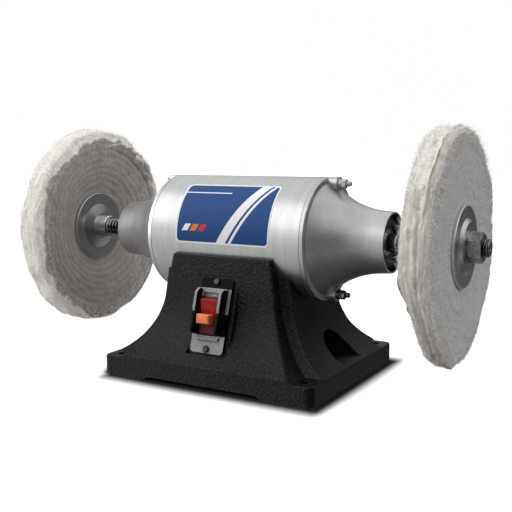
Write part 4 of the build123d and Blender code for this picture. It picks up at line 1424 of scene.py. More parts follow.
@dataclass
class BuffingWheel:
    """A sewn cotton wheel: quilted faces, torn loose plies, a frayed rim, stitches and fibres."""

    side: Side
    seed: int
    finish: SewnCotton
    thread: CottonThread
    fibre: CottonThread
    cloth: ClothRun
    fold_turn: float
    fold_span: float
    fold_height: float
    outer_bulge: float
    fray_start: float
    fray_wander: float
    dents: tuple[Dent, ...]
    grooves: tuple[Groove, ...]
    torn_plies: tuple[TornPly, ...]
    grey_turn: float = 0.0
    grey_reach: float = 0.0
    grey_span: tuple[float, float] = (0.2, 0.11)
    thin_turn: float = 0.0
    thinning: float = 0.0
    thin_span: tuple[float, float] = (0.13, 0.05)
    torn_span: tuple[float, float] = (0.14, 0.05)
    pleats: int = 29
    bore: float = 8.3 * MM
    inner_face: float = 200.95 * MM
    outer_face: float = 210.55 * MM
    first_row: float = FIRST_ROW
    last_row: float = LAST_ROW
    row_spaces: int = ROW_SPACES
    inner_bulge: float = 12.6 * MM
    margin_end: float = 98.0 * MM
    rim_crown: float = 5.5 * MM
    plies: int = 22
    stitch: float = STITCH
    stitch_half: tuple[float, float, float] = (1.7 * MM, 0.42 * MM, 0.3 * MM)
    row_points: int = 5
    margin_points: int = 11
    rim_points: int = 48
    columns: int = 500
    cloth_columns: int = 200
    fibres: int = 42000
    fibre_half: float = 0.12 * MM
    fringe_rows: int = 10

    def __post_init__(self) -> None:
        """Starts the wheel's noise and its uneven outline."""
        self.ripple = Ripple(self.seed)
        self.turn = np.arange(self.columns) / self.columns
        self.sway = self.wave((1.3 * MM, 6), (0.6 * MM, 17))
        self.swell = self.wave((1.9 * MM, 9), (1.6 * MM, 34))
        for dent in self.dents:
            self.swell += dent.rise * np.exp(-((ring_gap(self.turn, dent.turn) / dent.width) ** 2))

    def wave(self, *parts: tuple[float, int]) -> np.ndarray:
        """Noise round the wheel, added up from parts of a height and a number of lumps."""
        return sum(height * self.ripple.ring(self.turn, lumps) for height, lumps in parts)

    def face_along(self, radius: np.ndarray, outer: bool) -> np.ndarray:
        """Where a sewn face lies along the shaft at given radii, before it is made uneven.

        Args:
            radius: Distances from the axis.
            outer: True for the face away from the motor.

        Returns:
            The places along the shaft for the right-hand wheel.
        """
        share = np.clip((radius - self.first_row) / (self.last_row - self.first_row), 0, 1)
        if outer:
            return self.outer_face + self.outer_bulge * np.sin(np.pi / 2 * share)
        return self.inner_face - self.inner_bulge * np.sin(np.pi / 2 * share)

    def thinned(self, depth: np.ndarray) -> np.ndarray:
        """How far the plies that are missing let the motor-side edge in, for shares of the depth there."""
        return self.thinning * smooth_step(ring_gap(self.turn, self.thin_turn), *self.thin_span) * depth

    def outline(self, row_points: int, margin_points: int, rim_points: int) -> Outline:
        """The wheel's section.

        Args:
            row_points: How many points there are from one row of stitches to the next.
            margin_points: How many there are from the last row to the rim.
            rim_points: How many there are across the rim.

        Returns:
            The outer face, the full rim, the inner face and the pinched bore.
        """
        sewn = np.linspace(self.first_row, self.last_row, row_points * self.row_spaces + 1)
        radii = np.concatenate([sewn, np.linspace(self.last_row, self.margin_end, margin_points + 1)[1:]])
        outer = self.face_along(radii, True)
        inner = self.face_along(radii, False)
        sweep = np.linspace(0, 1, rim_points + 2)[1:-1]
        reach = np.cos(np.pi * sweep)
        across = np.sign(reach) * np.abs(reach) ** 0.75
        rim_along = (outer[-1] + inner[-1]) / 2 + (outer[-1] - inner[-1]) / 2 * across
        rim_radius = self.margin_end + self.rim_crown * np.sin(np.pi * sweep) ** 0.6
        pinch = np.array([self.inner_face, self.inner_face, self.outer_face, self.outer_face])
        middle = (self.bore + self.first_row) / 2
        hole = np.array([middle, self.bore, self.bore, middle])
        short_of_next = 0.001
        share = (1 - short_of_next) * (radii - radii[0]) / (radii[-1] - radii[0])
        place = [share, Zone.RIM.value + sweep, Zone.BORE.value - short_of_next - share[::-1]]
        place.append(Zone.BORE.value + np.array([0.2, 0.4, 0.6, 0.8]))
        along = np.concatenate([outer, rim_along, inner[::-1], pinch])
        radius = np.concatenate([radii, rim_radius, radii[::-1], hole])
        return Outline(along, radius, np.concatenate(place))

    def blown_up(self, outline: Outline) -> tuple[np.ndarray, np.ndarray]:
        """How far the simulated cloth stands off the plain section between its rows of stitches.

        Args:
            outline: The section to read it at.

        Returns:
            The moves along the shaft and away from it, for every point round the section.
        """
        coarse = self.outline(row_points=3, margin_points=4, rim_points=12)
        turn = np.arange(self.cloth_columns) / self.cloth_columns
        points = about_shaft(coarse.along[:, None], coarse.radius[:, None], turn[None, :])
        start = points + self.ripple.random.normal(0, 0.05 * MM, points.shape)
        row = (coarse.radius - self.first_row) / (self.last_row - self.first_row) * self.row_spaces
        held = (np.abs(row - np.round(row)) < 0.01) & (row < self.row_spaces + 0.5)
        held[coarse.rows(Zone.BORE)] = True
        held[coarse.rows(Zone.RIM)] = True
        faces = grid_faces(*points.shape[:2], True, True)
        moves = self.cloth.moves(start.reshape(-1, 3), faces, np.repeat(held, len(turn)))
        moves = moves.reshape(points.shape)
        spoke = (points - [0, 0, AXIS_HEIGHT]) * [0, 1, 1] / coarse.radius[:, None, None]
        spread = []
        for part in (moves[..., 0], (moves * spoke).sum(axis=-1)):
            around = np.stack([np.interp(self.turn, turn, ring, period=1) for ring in part])
            lines = [np.interp(outline.place, coarse.place, line) for line in around.T]
            spread.append(np.stack(lines, axis=1))
        return spread[0], spread[1]

    def fray(self, outline: Outline) -> np.ndarray:
        """How frayed the cloth is: 0 on the faces and 1 on the rim, with a ragged border at each shoulder
        that lies further out over one stretch, as painted shade.

        Args:
            outline: The section to read it at.

        Returns:
            The fraying of every point round the section.
        """
        walked = np.concatenate([[0], np.cumsum(np.hypot(np.diff(outline.along), np.diff(outline.radius)))])
        rim = outline.rows(Zone.RIM)
        frayed = np.ones((len(walked), self.columns))
        for corner, sign in ((rim[0], 1), (rim[-1], -1)):
            ragged = self.wave((self.fray_wander, 13), (0.35 * self.fray_wander, 52), (1.4 * MM, 160))
            # Painted shade: over one stretch of the rim the frayed white starts further out, so the cloth
            # there stays grey; this also flattens the fluff there.
            grey = self.grey_reach * smooth_step(ring_gap(self.turn, self.grey_turn), *self.grey_span)
            border = self.fray_start + ragged + grey
            beyond = sign * (walked - walked[corner])[:, None] - border[None, :]
            frayed *= smooth_step(beyond, -1.0 * MM, 1.0 * MM)
        return frayed

    def rim_grooves(self, share: np.ndarray) -> np.ndarray:
        """Wandering gaps between groups of plies round the rim.

        Args:
            share: The rim points' shares of its width from the outer face, as a column.

        Returns:
            How open a gap is at every point of the rim, from 0 to 1.
        """
        groove = np.zeros((len(share), self.columns))
        for place, strength, evenness in self.grooves:
            wander = place + self.wave((0.05, 9), (0.02, 60))
            opened = np.clip(evenness + self.wave((0.9, 8)), 0, 1)
            opened = opened * (0.85 + self.wave((0.2, 90)))
            groove += strength * opened * np.exp(-(((share - wander) / 0.05) ** 2))
        return np.clip(groove, 0, 1)

    def rim_plies(self, share: np.ndarray) -> tuple[np.ndarray, np.ndarray]:
        """The edges of the plies across the rim.

        Args:
            share: The rim points' shares of its width from the outer face, as a column.

        Returns:
            How high each point of the rim stands, in millimetres, and how deep in a gap it is, from 0 to 1.
        """
        turn = self.turn[None, :]
        groove = self.rim_grooves(share)
        ply = share * self.plies + 0.5 * self.ripple.sheet(turn, share, (40, 5))
        ridge = np.abs(np.sin(np.pi * ply)) ** 0.7
        relief = 0.5 * self.ripple.sheet(turn, share, (44, 4)) + 0.3 * (ridge - 1) - 3.4 * groove
        return relief, np.clip(groove + 0.3 * (1 - ridge), 0, 1)

    def rim_stain(self, share: np.ndarray) -> np.ndarray:
        """How much old wax is on the rim: a patchy band that wanders about its middle.

        Args:
            share: The rim points' shares of its width from the outer face, as a column.

        Returns:
            The stain of every point of the rim, from 0 to 1.
        """
        band = 0.52 + self.wave((0.08, 5))
        patchy = np.clip(0.7 + self.ripple.sheet(self.turn[None, :], share, (30, 6)), 0, 1)
        return np.exp(-(((share - band) / 0.13) ** 2)) * patchy

    def body(self) -> Shape:
        """The sewn stack of plies, puckered on its faces and tufted round its rim.

        Returns:
            One closed form with its wear.
        """
        self.section = self.outline(self.row_points, self.margin_points, self.rim_points)
        rim = self.section.rows(Zone.RIM)
        slope = np.stack([np.gradient(self.section.along), np.gradient(self.section.radius)])
        slope /= np.linalg.norm(slope, axis=0)
        along = self.section.along[:, None]
        radius = self.section.radius[:, None]
        turn = self.turn[None, :]
        place = self.section.place[:, None] / len(Zone)
        frayed = self.fray(self.section)
        free = smooth_step(radius, self.first_row, self.first_row + 8 * MM)
        height = free * 0.4 * self.ripple.sheet(turn, place, (19, 14)) + frayed * 0.8
        for rise, cells in ((0.7, (64, 40)), (0.6, (150, 110)), (0.45, (330, 200))):
            height = height + frayed * rise * self.ripple.sheet(turn, place, cells)
        share = (along[rim][0] - along[rim]) / (along[rim][0] - along[rim][-1])
        self.deep = np.zeros_like(height)
        relief, self.deep[rim] = self.rim_plies(share)
        height[rim] += relief
        stain = np.zeros_like(height)
        stain[rim] = self.rim_stain(share)
        full = radius / (self.margin_end + self.rim_crown)
        calm = 1 - 0.8 * smooth_step(radius, self.last_row + 3 * MM, self.margin_end - 1 * MM)
        puffed, lifted = (calm * move for move in self.blown_up(self.section))
        depth = smooth_step(radius, self.last_row - 5 * MM, self.margin_end)
        depth[: rim[0]] = 0
        depth[rim] = share
        along = along + puffed - slope[1][:, None] * height * MM
        along = along + self.sway[None, :] * full**3 + self.thinned(depth)
        radius = radius + lifted + slope[0][:, None] * height * MM
        radius = radius + self.swell[None, :] * smooth_step(full, 0.8, 1.0)
        self.surface = about_shaft(self.side.value * along, radius, turn)
        return ring_shape(self.surface, np.stack([frayed, self.deep, stain], axis=-1))

    def loose_ply(self, ply: TornPly) -> Shape:
        """The torn edge of one of the outermost plies, which stands up in folds over part of the wheel.

        Args:
            ply: Its face, its layer and its folds; layer 0 is next to the stack.

        Returns:
            A thin closed sheet that dips into the stack where it isn't torn.
        """
        sign = 1 if ply.outer else -1
        turn = self.turn[None, :]
        torn = smooth_step(ring_gap(turn, self.fold_turn) / self.fold_span, *self.torn_span)
        start = self.last_row - 1.5 * MM
        border = self.margin_end - (1 + 4 * ply.layer) * MM + self.wave((3.5 * MM, 23), (1.2 * MM, 74))
        share = np.linspace(0, 1, 8)[:, None]
        radius = start + (border[None, :] - start) * share * torn
        pleats = np.sin(2 * np.pi * self.pleats * turn + 1.7 * ply.layer + self.wave((5, 17)))
        fullness = ply.folded * (0.6 + self.wave((0.4, 24)))
        curl = self.fold_height * fullness * torn**2 * (0.45 + 0.55 * pleats) * share**1.5
        rise = torn * (1.0 + 0.5 * ply.layer) * MM * np.sin(np.pi / 2 * np.clip(3 * share, 0, 1))
        rise = rise - 1.2 * MM * (1 - torn)
        along = self.face_along(radius, ply.outer) + sign * (rise + curl)
        along = along + sign * 0.6 * MM * self.ripple.sheet(turn, share, (60, 3)) * share * torn
        along = along + self.sway[None, :] * (radius / (self.margin_end + self.rim_crown)) ** 3
        if not ply.outer:
            along = along + self.thinned(smooth_step(radius, self.last_row - 5 * MM, self.margin_end))
        frayed = np.broadcast_to(smooth_step(share, 0.75, 1.0) * 0.8, along.shape)
        blank = np.zeros_like(along)
        thick = (0.5 - 0.25 * share) * MM
        top = about_shaft(self.side.value * along, radius, turn)
        under = about_shaft(self.side.value * (along - sign * thick), radius, turn)
        points = np.concatenate([top, under[::-1]])
        return ring_shape(points, np.concatenate([np.stack([frayed, blank, blank], axis=-1)] * 2))

    def stitches(self) -> Shape:
        """Every stitch of both faces, in its row.

        Returns:
            A small tapered loop of thread for each stitch.
        """
        sections = ((-1.0, 0.3), (0.0, 1.0), (1.0, 0.3))
        corners = np.array([0.0, 0.25, 0.5, 0.75]) * 2 * np.pi
        size = len(sections) * len(corners)
        loop = tube_faces(len(sections), len(corners))
        length, width, height = self.stitch_half
        batches = []
        for zone, sign in ((Zone.OUTER_FACE, 1), (Zone.INNER_FACE, -1)):
            face = self.surface[self.section.rows(zone)][::sign]
            outward = np.array([sign * self.side.value, 0.0, 0.0])
            for row in range(self.row_spaces + 1):
                radius = self.first_row + (self.last_row - self.first_row) * row / self.row_spaces
                count = int(2 * math.pi * radius / self.stitch)
                place = (np.arange(count) + 0.5) / count * self.columns
                before = np.floor(place).astype(int) % self.columns
                part = (place % 1.0)[:, None]
                ring = face[self.row_points * row]
                centre = ring[before] * (1 - part) + ring[(before + 1) % self.columns] * part
                spoke = unit(centre * [0, 1, 1] - [0, 0, AXIS_HEIGHT])
                tangent = np.cross(spoke, outward)
                rings = []
                for step, girth in sections:
                    for corner in corners:
                        across = spoke * (width * girth * math.cos(corner))
                        lift = outward * (height * girth * math.sin(corner) + (0.12 - 0.2 * abs(step)) * MM)
                        rings.append(centre + tangent * (step * length) + across + lift)
                batches.append(np.stack(rings, axis=1))
        points = np.concatenate(batches).reshape(-1, 3)
        starts = range(0, len(points), size)
        return Shape(points, [[number + start for number in face] for start in starts for face in loop])

    def fibre_fringe(self) -> Shape:
        """Loose cotton fibres that stand out of the frayed cloth in tufts.

        Returns:
            A thin curved ribbon for each fibre.
        """
        random = np.random.default_rng(self.seed + 100)
        rim = self.section.rows(Zone.RIM)
        row = random.integers(rim[0] - self.fringe_rows, rim[-1] + self.fringe_rows, self.fibres)
        column = random.integers(0, self.columns, self.fibres)
        root = self.surface[row, column]
        spoke = unit(root * [0, 1, 1] - [0, 0, AXIS_HEIGHT])
        share = (row - rim[0]) / len(rim)
        tilt = share * 2 - 1
        tuft = self.ripple.sheet(column / self.columns, share, (90, 9))
        sideways = np.cross(spoke, [1.0, 0.0, 0.0])
        heading = spoke * (1.15 - 0.6 * np.abs(tilt)[:, None]) + sideways * tuft[:, None]
        heading += random.normal(0, 0.5, (self.fibres, 3))
        heading[:, 0] -= 0.8 * tilt * self.side.value
        heading = unit(heading)
        bend = random.normal(0, 0.7, (self.fibres, 3)) - 0.3 * spoke
        length = np.clip(random.gamma(2.4, 1.05, self.fibres), 0.6, 6)[:, None] * MM
        length = length * (1 - 0.8 * smooth_step(self.deep[row, column], 0.3, 0.7))[:, None]
        flat = self.fibre_half * unit(np.cross(heading, random.normal(0, 1, (self.fibres, 3))))
        root = root - heading * 0.4 * MM
        middle = root + heading * length * 0.55 + bend * length * 0.12
        tip = root + heading * length + bend * length * 0.45
        points = np.stack([root - flat, root + flat, middle + 0.7 * flat, middle - 0.7 * flat, tip], axis=1)
        first = np.arange(self.fibres)[:, None] * 5
        faces = (first + [0, 1, 2, 3]).tolist() + (first + [3, 2, 4]).tolist()
        return Shape(points.reshape(-1, 3), faces)

    def build(self) -> None:
        """Makes the wheel's cloth, stitches and fibres."""
        word = self.side.word
        cloth = self.body()
        for ply in self.torn_plies:
            cloth = cloth.joined(self.loose_ply(ply))
        wheel = cloth.piece(f"{word}_wheel_cloth", Body.ROTOR, self.finish, "cotton")
        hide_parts(f"{word}_buffing_wheel")
        self.stitches().piece(f"{word}_wheel_stitches", Body.ROTOR, self.thread, "cotton")
        self.fibre_fringe().piece(f"{word}_wheel_fibres", Body.ROTOR, self.fibre, "cotton")


# Turned and threaded pieces


class Turning:
    """A turned piece that grows station by station along its axis, with threads where they are cut."""

    rings_per_pitch: int = 8
    depth_per_pitch: float = 0.6

    def __init__(self, sides: int, axis_z: float) -> None:
        """Starts with no stations.

        Args:
            sides: How many points go round the piece.
            axis_z: The height of its axis.
        """
        self.turn = np.arange(sides) / sides
        self.axis_z = axis_z
        self.along: list[float] = []
        self.radius: list[np.ndarray] = []

    def plain(self, *stations: tuple[float, float]) -> "Turning":
        """Adds plain stations.

        Args:
            stations: Places along the axis with their radii.

        Returns:
            This turning.
        """
        for along, radius in stations:
            self.along.append(along)
            self.radius.append(np.full_like(self.turn, radius))
        return self

    def thread(self, start: float, end: float, major: float, pitch: float) -> "Turning":
        """Adds a right-handed threaded length, whose first and last rings are plain.

        Args:
            start: Where it begins.
            end: Where it ends.
            major: The radius over its crests.
            pitch: The distance between crests.

        Returns:
            This turning.
        """
        count = max(2, round((end - start) / pitch * self.rings_per_pitch))
        depth = self.depth_per_pitch * pitch
        for along in np.linspace(start, end, count + 1):
            phase = (along / pitch - self.turn) % 1.0
            flank = np.clip(1.25 * np.abs(2 * phase - 1) - 0.1, 0, 1)
            fade = min(1.0, (along - start) / pitch, (end - along) / pitch)
            self.along.append(float(along))
            self.radius.append(major - depth * (1 - flank) * fade)
        return self

    def mirrored(self) -> "Turning":
        """Adds the mirror image of what is there, on the other side of the machine's middle.

        Returns:
            This turning.
        """
        self.along = [-place for place in reversed(self.along)] + self.along
        self.radius = self.radius[::-1] + self.radius
        return self

    def shape(self) -> Shape:
        """Joins the stations.

        Returns:
            The closed turned form.
        """
        along = np.array(self.along)[:, None]
        radius = np.array(self.radius)
        points = about_shaft(along, radius, self.turn[None, :])
        points[..., 2] += self.axis_z - AXIS_HEIGHT
        return Shape(points.reshape(-1, 3), tube_faces(*radius.shape))


@dataclass
class Spindle:
    """The double-ended shaft with a thread at each end, left-handed on the left."""

    rotor_seat: float = 11.0 * MM
    rotor_seat_half: float = 58.0 * MM
    shoulder: float = 10.0 * MM
    bearing_seat: float = 8.5 * MM
    bearing_face: float = 130.0 * MM
    neck_thread: float = 151.0 * MM
    flange_seat: float = 181.0 * MM
    thread_radius: float = 8.0 * MM
    thread_start: float = 214.0 * MM
    end: float = 234.0 * MM
    chamfer: float = 1.5 * MM
    thread_drop: float = 0.4 * MM
    centre_hole: float = 2.4 * MM
    centre_point: float = 0.2 * MM
    pitch: float = 2.0 * MM
    neck_pitch: float = 4.2 * MM
    sides: int = 40

    def build(self) -> None:
        """Makes the shaft in place of its plain node: its right half, and the mirror image of that."""
        turning = Turning(self.sides, AXIS_HEIGHT)
        turning.plain(
            (self.rotor_seat_half, self.rotor_seat),
            (self.rotor_seat_half, self.shoulder),
            (self.bearing_face, self.shoulder),
            (self.bearing_face, self.bearing_seat),
        )
        turning.thread(self.neck_thread, self.flange_seat, self.bearing_seat, self.neck_pitch)
        turning.plain((self.flange_seat, self.thread_radius))
        turning.thread(self.thread_start, self.end - self.chamfer, self.thread_radius, self.pitch)
        turning.plain(
            (self.end - self.chamfer, self.thread_radius - self.thread_drop),
            (self.end, self.thread_radius - self.chamfer),
            (self.end, self.centre_hole),
            (self.end - self.centre_hole, self.centre_point),
        )
        whole = turning.mirrored().shape()
        shaft = whole.piece("threaded_shaft", Body.ROTOR, SHAFT_STEEL, "bright_steel", 40)
        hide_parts("shaft")


@dataclass
class LongBolts:
    """The two bolts through both bells, with their hexagon heads, threads and nuts."""

    offset: float = 52.0 * MM
    radius: float = 2.5 * MM
    seat: float = 96.6 * MM
    flats: float = 8.0 * MM
    head: float = 3.6 * MM
    nut: float = 4.7 * MM
    stud: float = 4.7 * MM
    pitch: float = 0.8 * MM
    point: float = 0.6 * MM
    point_drop: float = 0.7 * MM
    core: float = 0.1 * MM
    clearance: float = 0.05 * MM
    corner_drop: float = 0.35 * MM
    sides: int = 20
    hexagon_sides: int = 24

    def hexagon(self, start: float, end: float, height: float, bore: float, both_ends: bool) -> Shape:
        """A hexagon with chamfered corners, about a bolt.

        Args:
            start: Where it begins along the shaft.
            end: Where it ends.
            height: The bolt's height.
            bore: The radius of its hole, or a tiny one for a head.
            both_ends: Whether its end is chamfered too, and not only its start.

        Returns:
            The closed form.
        """
        turn = np.arange(self.hexagon_sides) / self.hexagon_sides
        angle = 2 * np.pi * turn
        flat = self.flats / 2 / np.cos((angle + np.pi / 6) % (np.pi / 3) - np.pi / 6)
        inset = np.minimum(flat, self.flats / 2 * 0.97)
        half_way = np.minimum(flat, self.flats / 2 * 1.06)
        hole = np.full_like(turn, bore)
        chamfer = [(0.0, inset), (0.5 * self.corner_drop, half_way), (1.6 * self.corner_drop, flat)]
        before = [(start + step, radius) for step, radius in chamfer]
        after = [(end - step, radius) for step, radius in (chamfer if both_ends else [(0.0, flat)])]
        rows = [(start, hole), *before, *after[::-1], (end, hole)]
        along = np.array([row[0] for row in rows])[:, None]
        points = about_shaft(along, np.array([row[1] for row in rows]), turn[None, :])
        points[..., 2] += height - AXIS_HEIGHT
        return ring_shape(points)

    def bolt_at(self, height: float) -> Shape:
        """One bolt with its head.

        Args:
            height: The height of its axis.

        Returns:
            The bolt and the head.
        """
        tip = self.seat + self.nut + self.stud
        turning = Turning(self.sides, height)
        turning.plain((-self.seat, self.core), (-self.seat, self.radius))
        turning.thread(self.seat, tip - self.point, self.radius, self.pitch)
        turning.plain((tip, self.radius - self.point_drop))
        return turning.shape().joined(
            self.hexagon(-self.seat - self.head, -self.seat, height, self.core, both_ends=False)
        )

    def nut_at(self, height: float) -> Shape:
        """The nut at one height."""
        bore = self.radius + self.clearance
        return self.hexagon(self.seat, self.seat + self.nut, height, bore, both_ends=True)

    def build(self) -> None:
        """Makes the bolts and nuts in place of their plain nodes."""
        high = AXIS_HEIGHT + self.offset
        low = AXIS_HEIGHT - self.offset
        bolts = self.bolt_at(high).joined(self.bolt_at(low))
        made = bolts.piece("long_bolts", Body.BASE, BOLT_ZINC, "bolt_steel", 25)
        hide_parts("through_bolts")
        nuts = self.nut_at(high).joined(self.nut_at(low))
        made = nuts.piece("long_bolt_nuts", Body.BASE, BOLT_ZINC, "bolt_steel", 25)
        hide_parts("through_bolt_nuts")


# Motor label and switch marks


@dataclass
class TubeLabel:
    """The printed label, a thin film wrapped on the front of the motor tube."""

    middle_x: float = -0.2 * MM
    half_width: float = LABEL_HALF_WIDTH
    half_height: float = LABEL_HALF_HEIGHT
    low_angle: float = -4.6
    high_angle: float = 58.6
    corner: float = 4.5 * MM
    film: float = 0.18 * MM
    clearance: float = 0.02 * MM
    corner_points: int = 7
    side_points: int = 22
    width_points: int = 24

    def build(self) -> None:
        """Makes the film, with rounded corners, just clear of the tube."""
        bend = np.linspace(0, 1, self.corner_points)
        ends = self.corner * (1 - np.cos(np.pi / 2 * bend))
        middle = np.linspace(self.corner, 2 * self.half_height - self.corner, self.side_points)[1:-1]
        up = np.concatenate([ends, middle, 2 * self.half_height - ends[::-1]])
        near = np.minimum(np.minimum(up, 2 * self.half_height - up), self.corner)
        trim = self.corner - np.sqrt(np.maximum(self.corner**2 - (self.corner - near) ** 2, 0))
        reach = (self.half_width - trim)[:, None]
        x = self.middle_x + reach * np.linspace(-1, 1, self.width_points)[None, :]
        angle = np.radians(self.low_angle + (self.high_angle - self.low_angle) * up / (2 * self.half_height))
        turn = np.broadcast_to((angle / (2 * np.pi))[:, None], x.shape)
        clear = TUBE_RADIUS + self.clearance
        top = about_shaft(x, clear + self.film, turn)
        under = about_shaft(x, clear, turn)
        points = np.concatenate([top, under[::-1]])
        rows, columns, _ = points.shape
        faces = grid_faces(rows, columns, True, False)
        for column in (0, columns - 1):
            for row in range(rows // 2 - 1):
                corners = (row, row + 1, rows - 2 - row, rows - 1 - row)
                faces.append([number * columns + column for number in corners])
        Shape(points.reshape(-1, 3), faces).piece("motor_label", Body.BASE, LABEL, crease=40)


@dataclass
class SwitchMarks:
    """The raised ON and OFF on the sloped bars of the switch's bezel."""

    origin: Point = SWITCH_MIDDLE
    letter: float = 2.9 * MM
    relief: float = 0.12 * MM
    boldness: float = 0.04 * MM
    on_place: tuple[float, float, float] = (18.8 * MM, 4.05 * MM, 14)
    off_place: tuple[float, float, float] = (-20.4 * MM, 4.85 * MM, -41)

    def frame_at(self, up: float, out: float, slope: float) -> Matrix:
        """The place of a mark on the tilted switch.

        Args:
            up: How far up the plate it is.
            out: How far out of the plate it is.
            slope: How much its bar leans back from the plate, in degrees.

        Returns:
            The mark's matrix: X along its line, Y up it and Z out.
        """
        plate = Matrix.Translation(self.origin) @ Matrix.Rotation(math.pi / 2 - SWITCH_TILT, 4, "X")
        return plate @ Matrix.Translation((0, up, out)) @ Matrix.Rotation(math.radians(slope), 4, "X")

    def mark(self, word: str, where: Matrix) -> None:
        """Makes one word as a mesh.

        Args:
            word: The word.
            where: Its place.
        """
        curve = bpy.data.curves.new(word, "FONT")
        curve.body = word
        curve.size = self.letter
        curve.align_x = "CENTER"
        curve.align_y = "CENTER"
        curve.extrude = self.relief
        curve.offset = self.boldness
        draft = bpy.data.objects.new(word, curve)
        mesh = bpy.data.meshes.new_from_object(draft)
        bpy.data.objects.remove(draft)
        mesh.transform(where)
        mesh.materials.clear()
        add_piece(f"{word.lower()}_mark", mesh, Body.BASE, WHITE_INK)

    def build(self) -> None:
        """Makes both words."""
        self.mark("ON", self.frame_at(*self.on_place))
        self.mark("OFF", self.frame_at(*self.off_place))


@dataclass
class LowerGuards:
    """The lower halves of the finger guards, black with painted shade, which stand on the bezel beside the
    rocker's foot.
    """

    inner: float = 11.85 * MM
    thick: float = 2.5 * MM
    foot: float = 6.9 * MM
    top: float = 14.6 * MM
    low: float = -18.4 * MM
    high: float = 4.0 * MM
    slope: float = 2.5 * MM
    bevel: float = 0.4 * MM

    def wall(self, side: Side) -> Shape:
        """One wall, chamfered along its edges.

        Args:
            side: The side of the rocker that it is on.

        Returns:
            The closed form, in the machine's space.
        """
        outline = np.array(
            [
                (self.low, self.foot),
                (self.low, self.top - self.slope),
                (self.low + self.slope, self.top),
                (self.high, self.top),
                (self.high, self.foot),
            ]
        )
        middle = outline.mean(axis=0)
        inset = outline - np.sign(outline - middle) * self.bevel
        outer = self.inner + self.thick
        stations = (
            (self.inner, inset),
            (self.inner + self.bevel, outline),
            (outer - self.bevel, outline),
            (outer, inset),
        )
        axes = np.array([(side.value, 0.0, 0.0), SWITCH_UPWARD, SWITCH_OUTWARD])
        points = [np.array([across, *place]) @ axes for across, section in stations for place in section]
        return Shape(np.array(points) + SWITCH_MIDDLE, tube_faces(len(stations), len(outline)))

    def build(self) -> None:
        """Makes both walls as one piece."""
        walls = self.wall(Side.LEFT).joined(self.wall(Side.RIGHT))
        walls.piece("lower_switch_guards", Body.BASE, GREY_PLASTIC, "grey_plastic", 20)


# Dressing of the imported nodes


@dataclass
class Dresser:
    """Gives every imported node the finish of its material."""

    table: dict[Finish, tuple[str, ...]]

    def build(self) -> None:
        """Puts each finish on its nodes' material slots."""
        for finish, names in self.table.items():
            material = finish.material()
            for name in names:
                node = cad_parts[name]
                for slot in node.material_slots:
                    slot.material = material
                log.info("%s: %s", name, finish.name)


# Studio


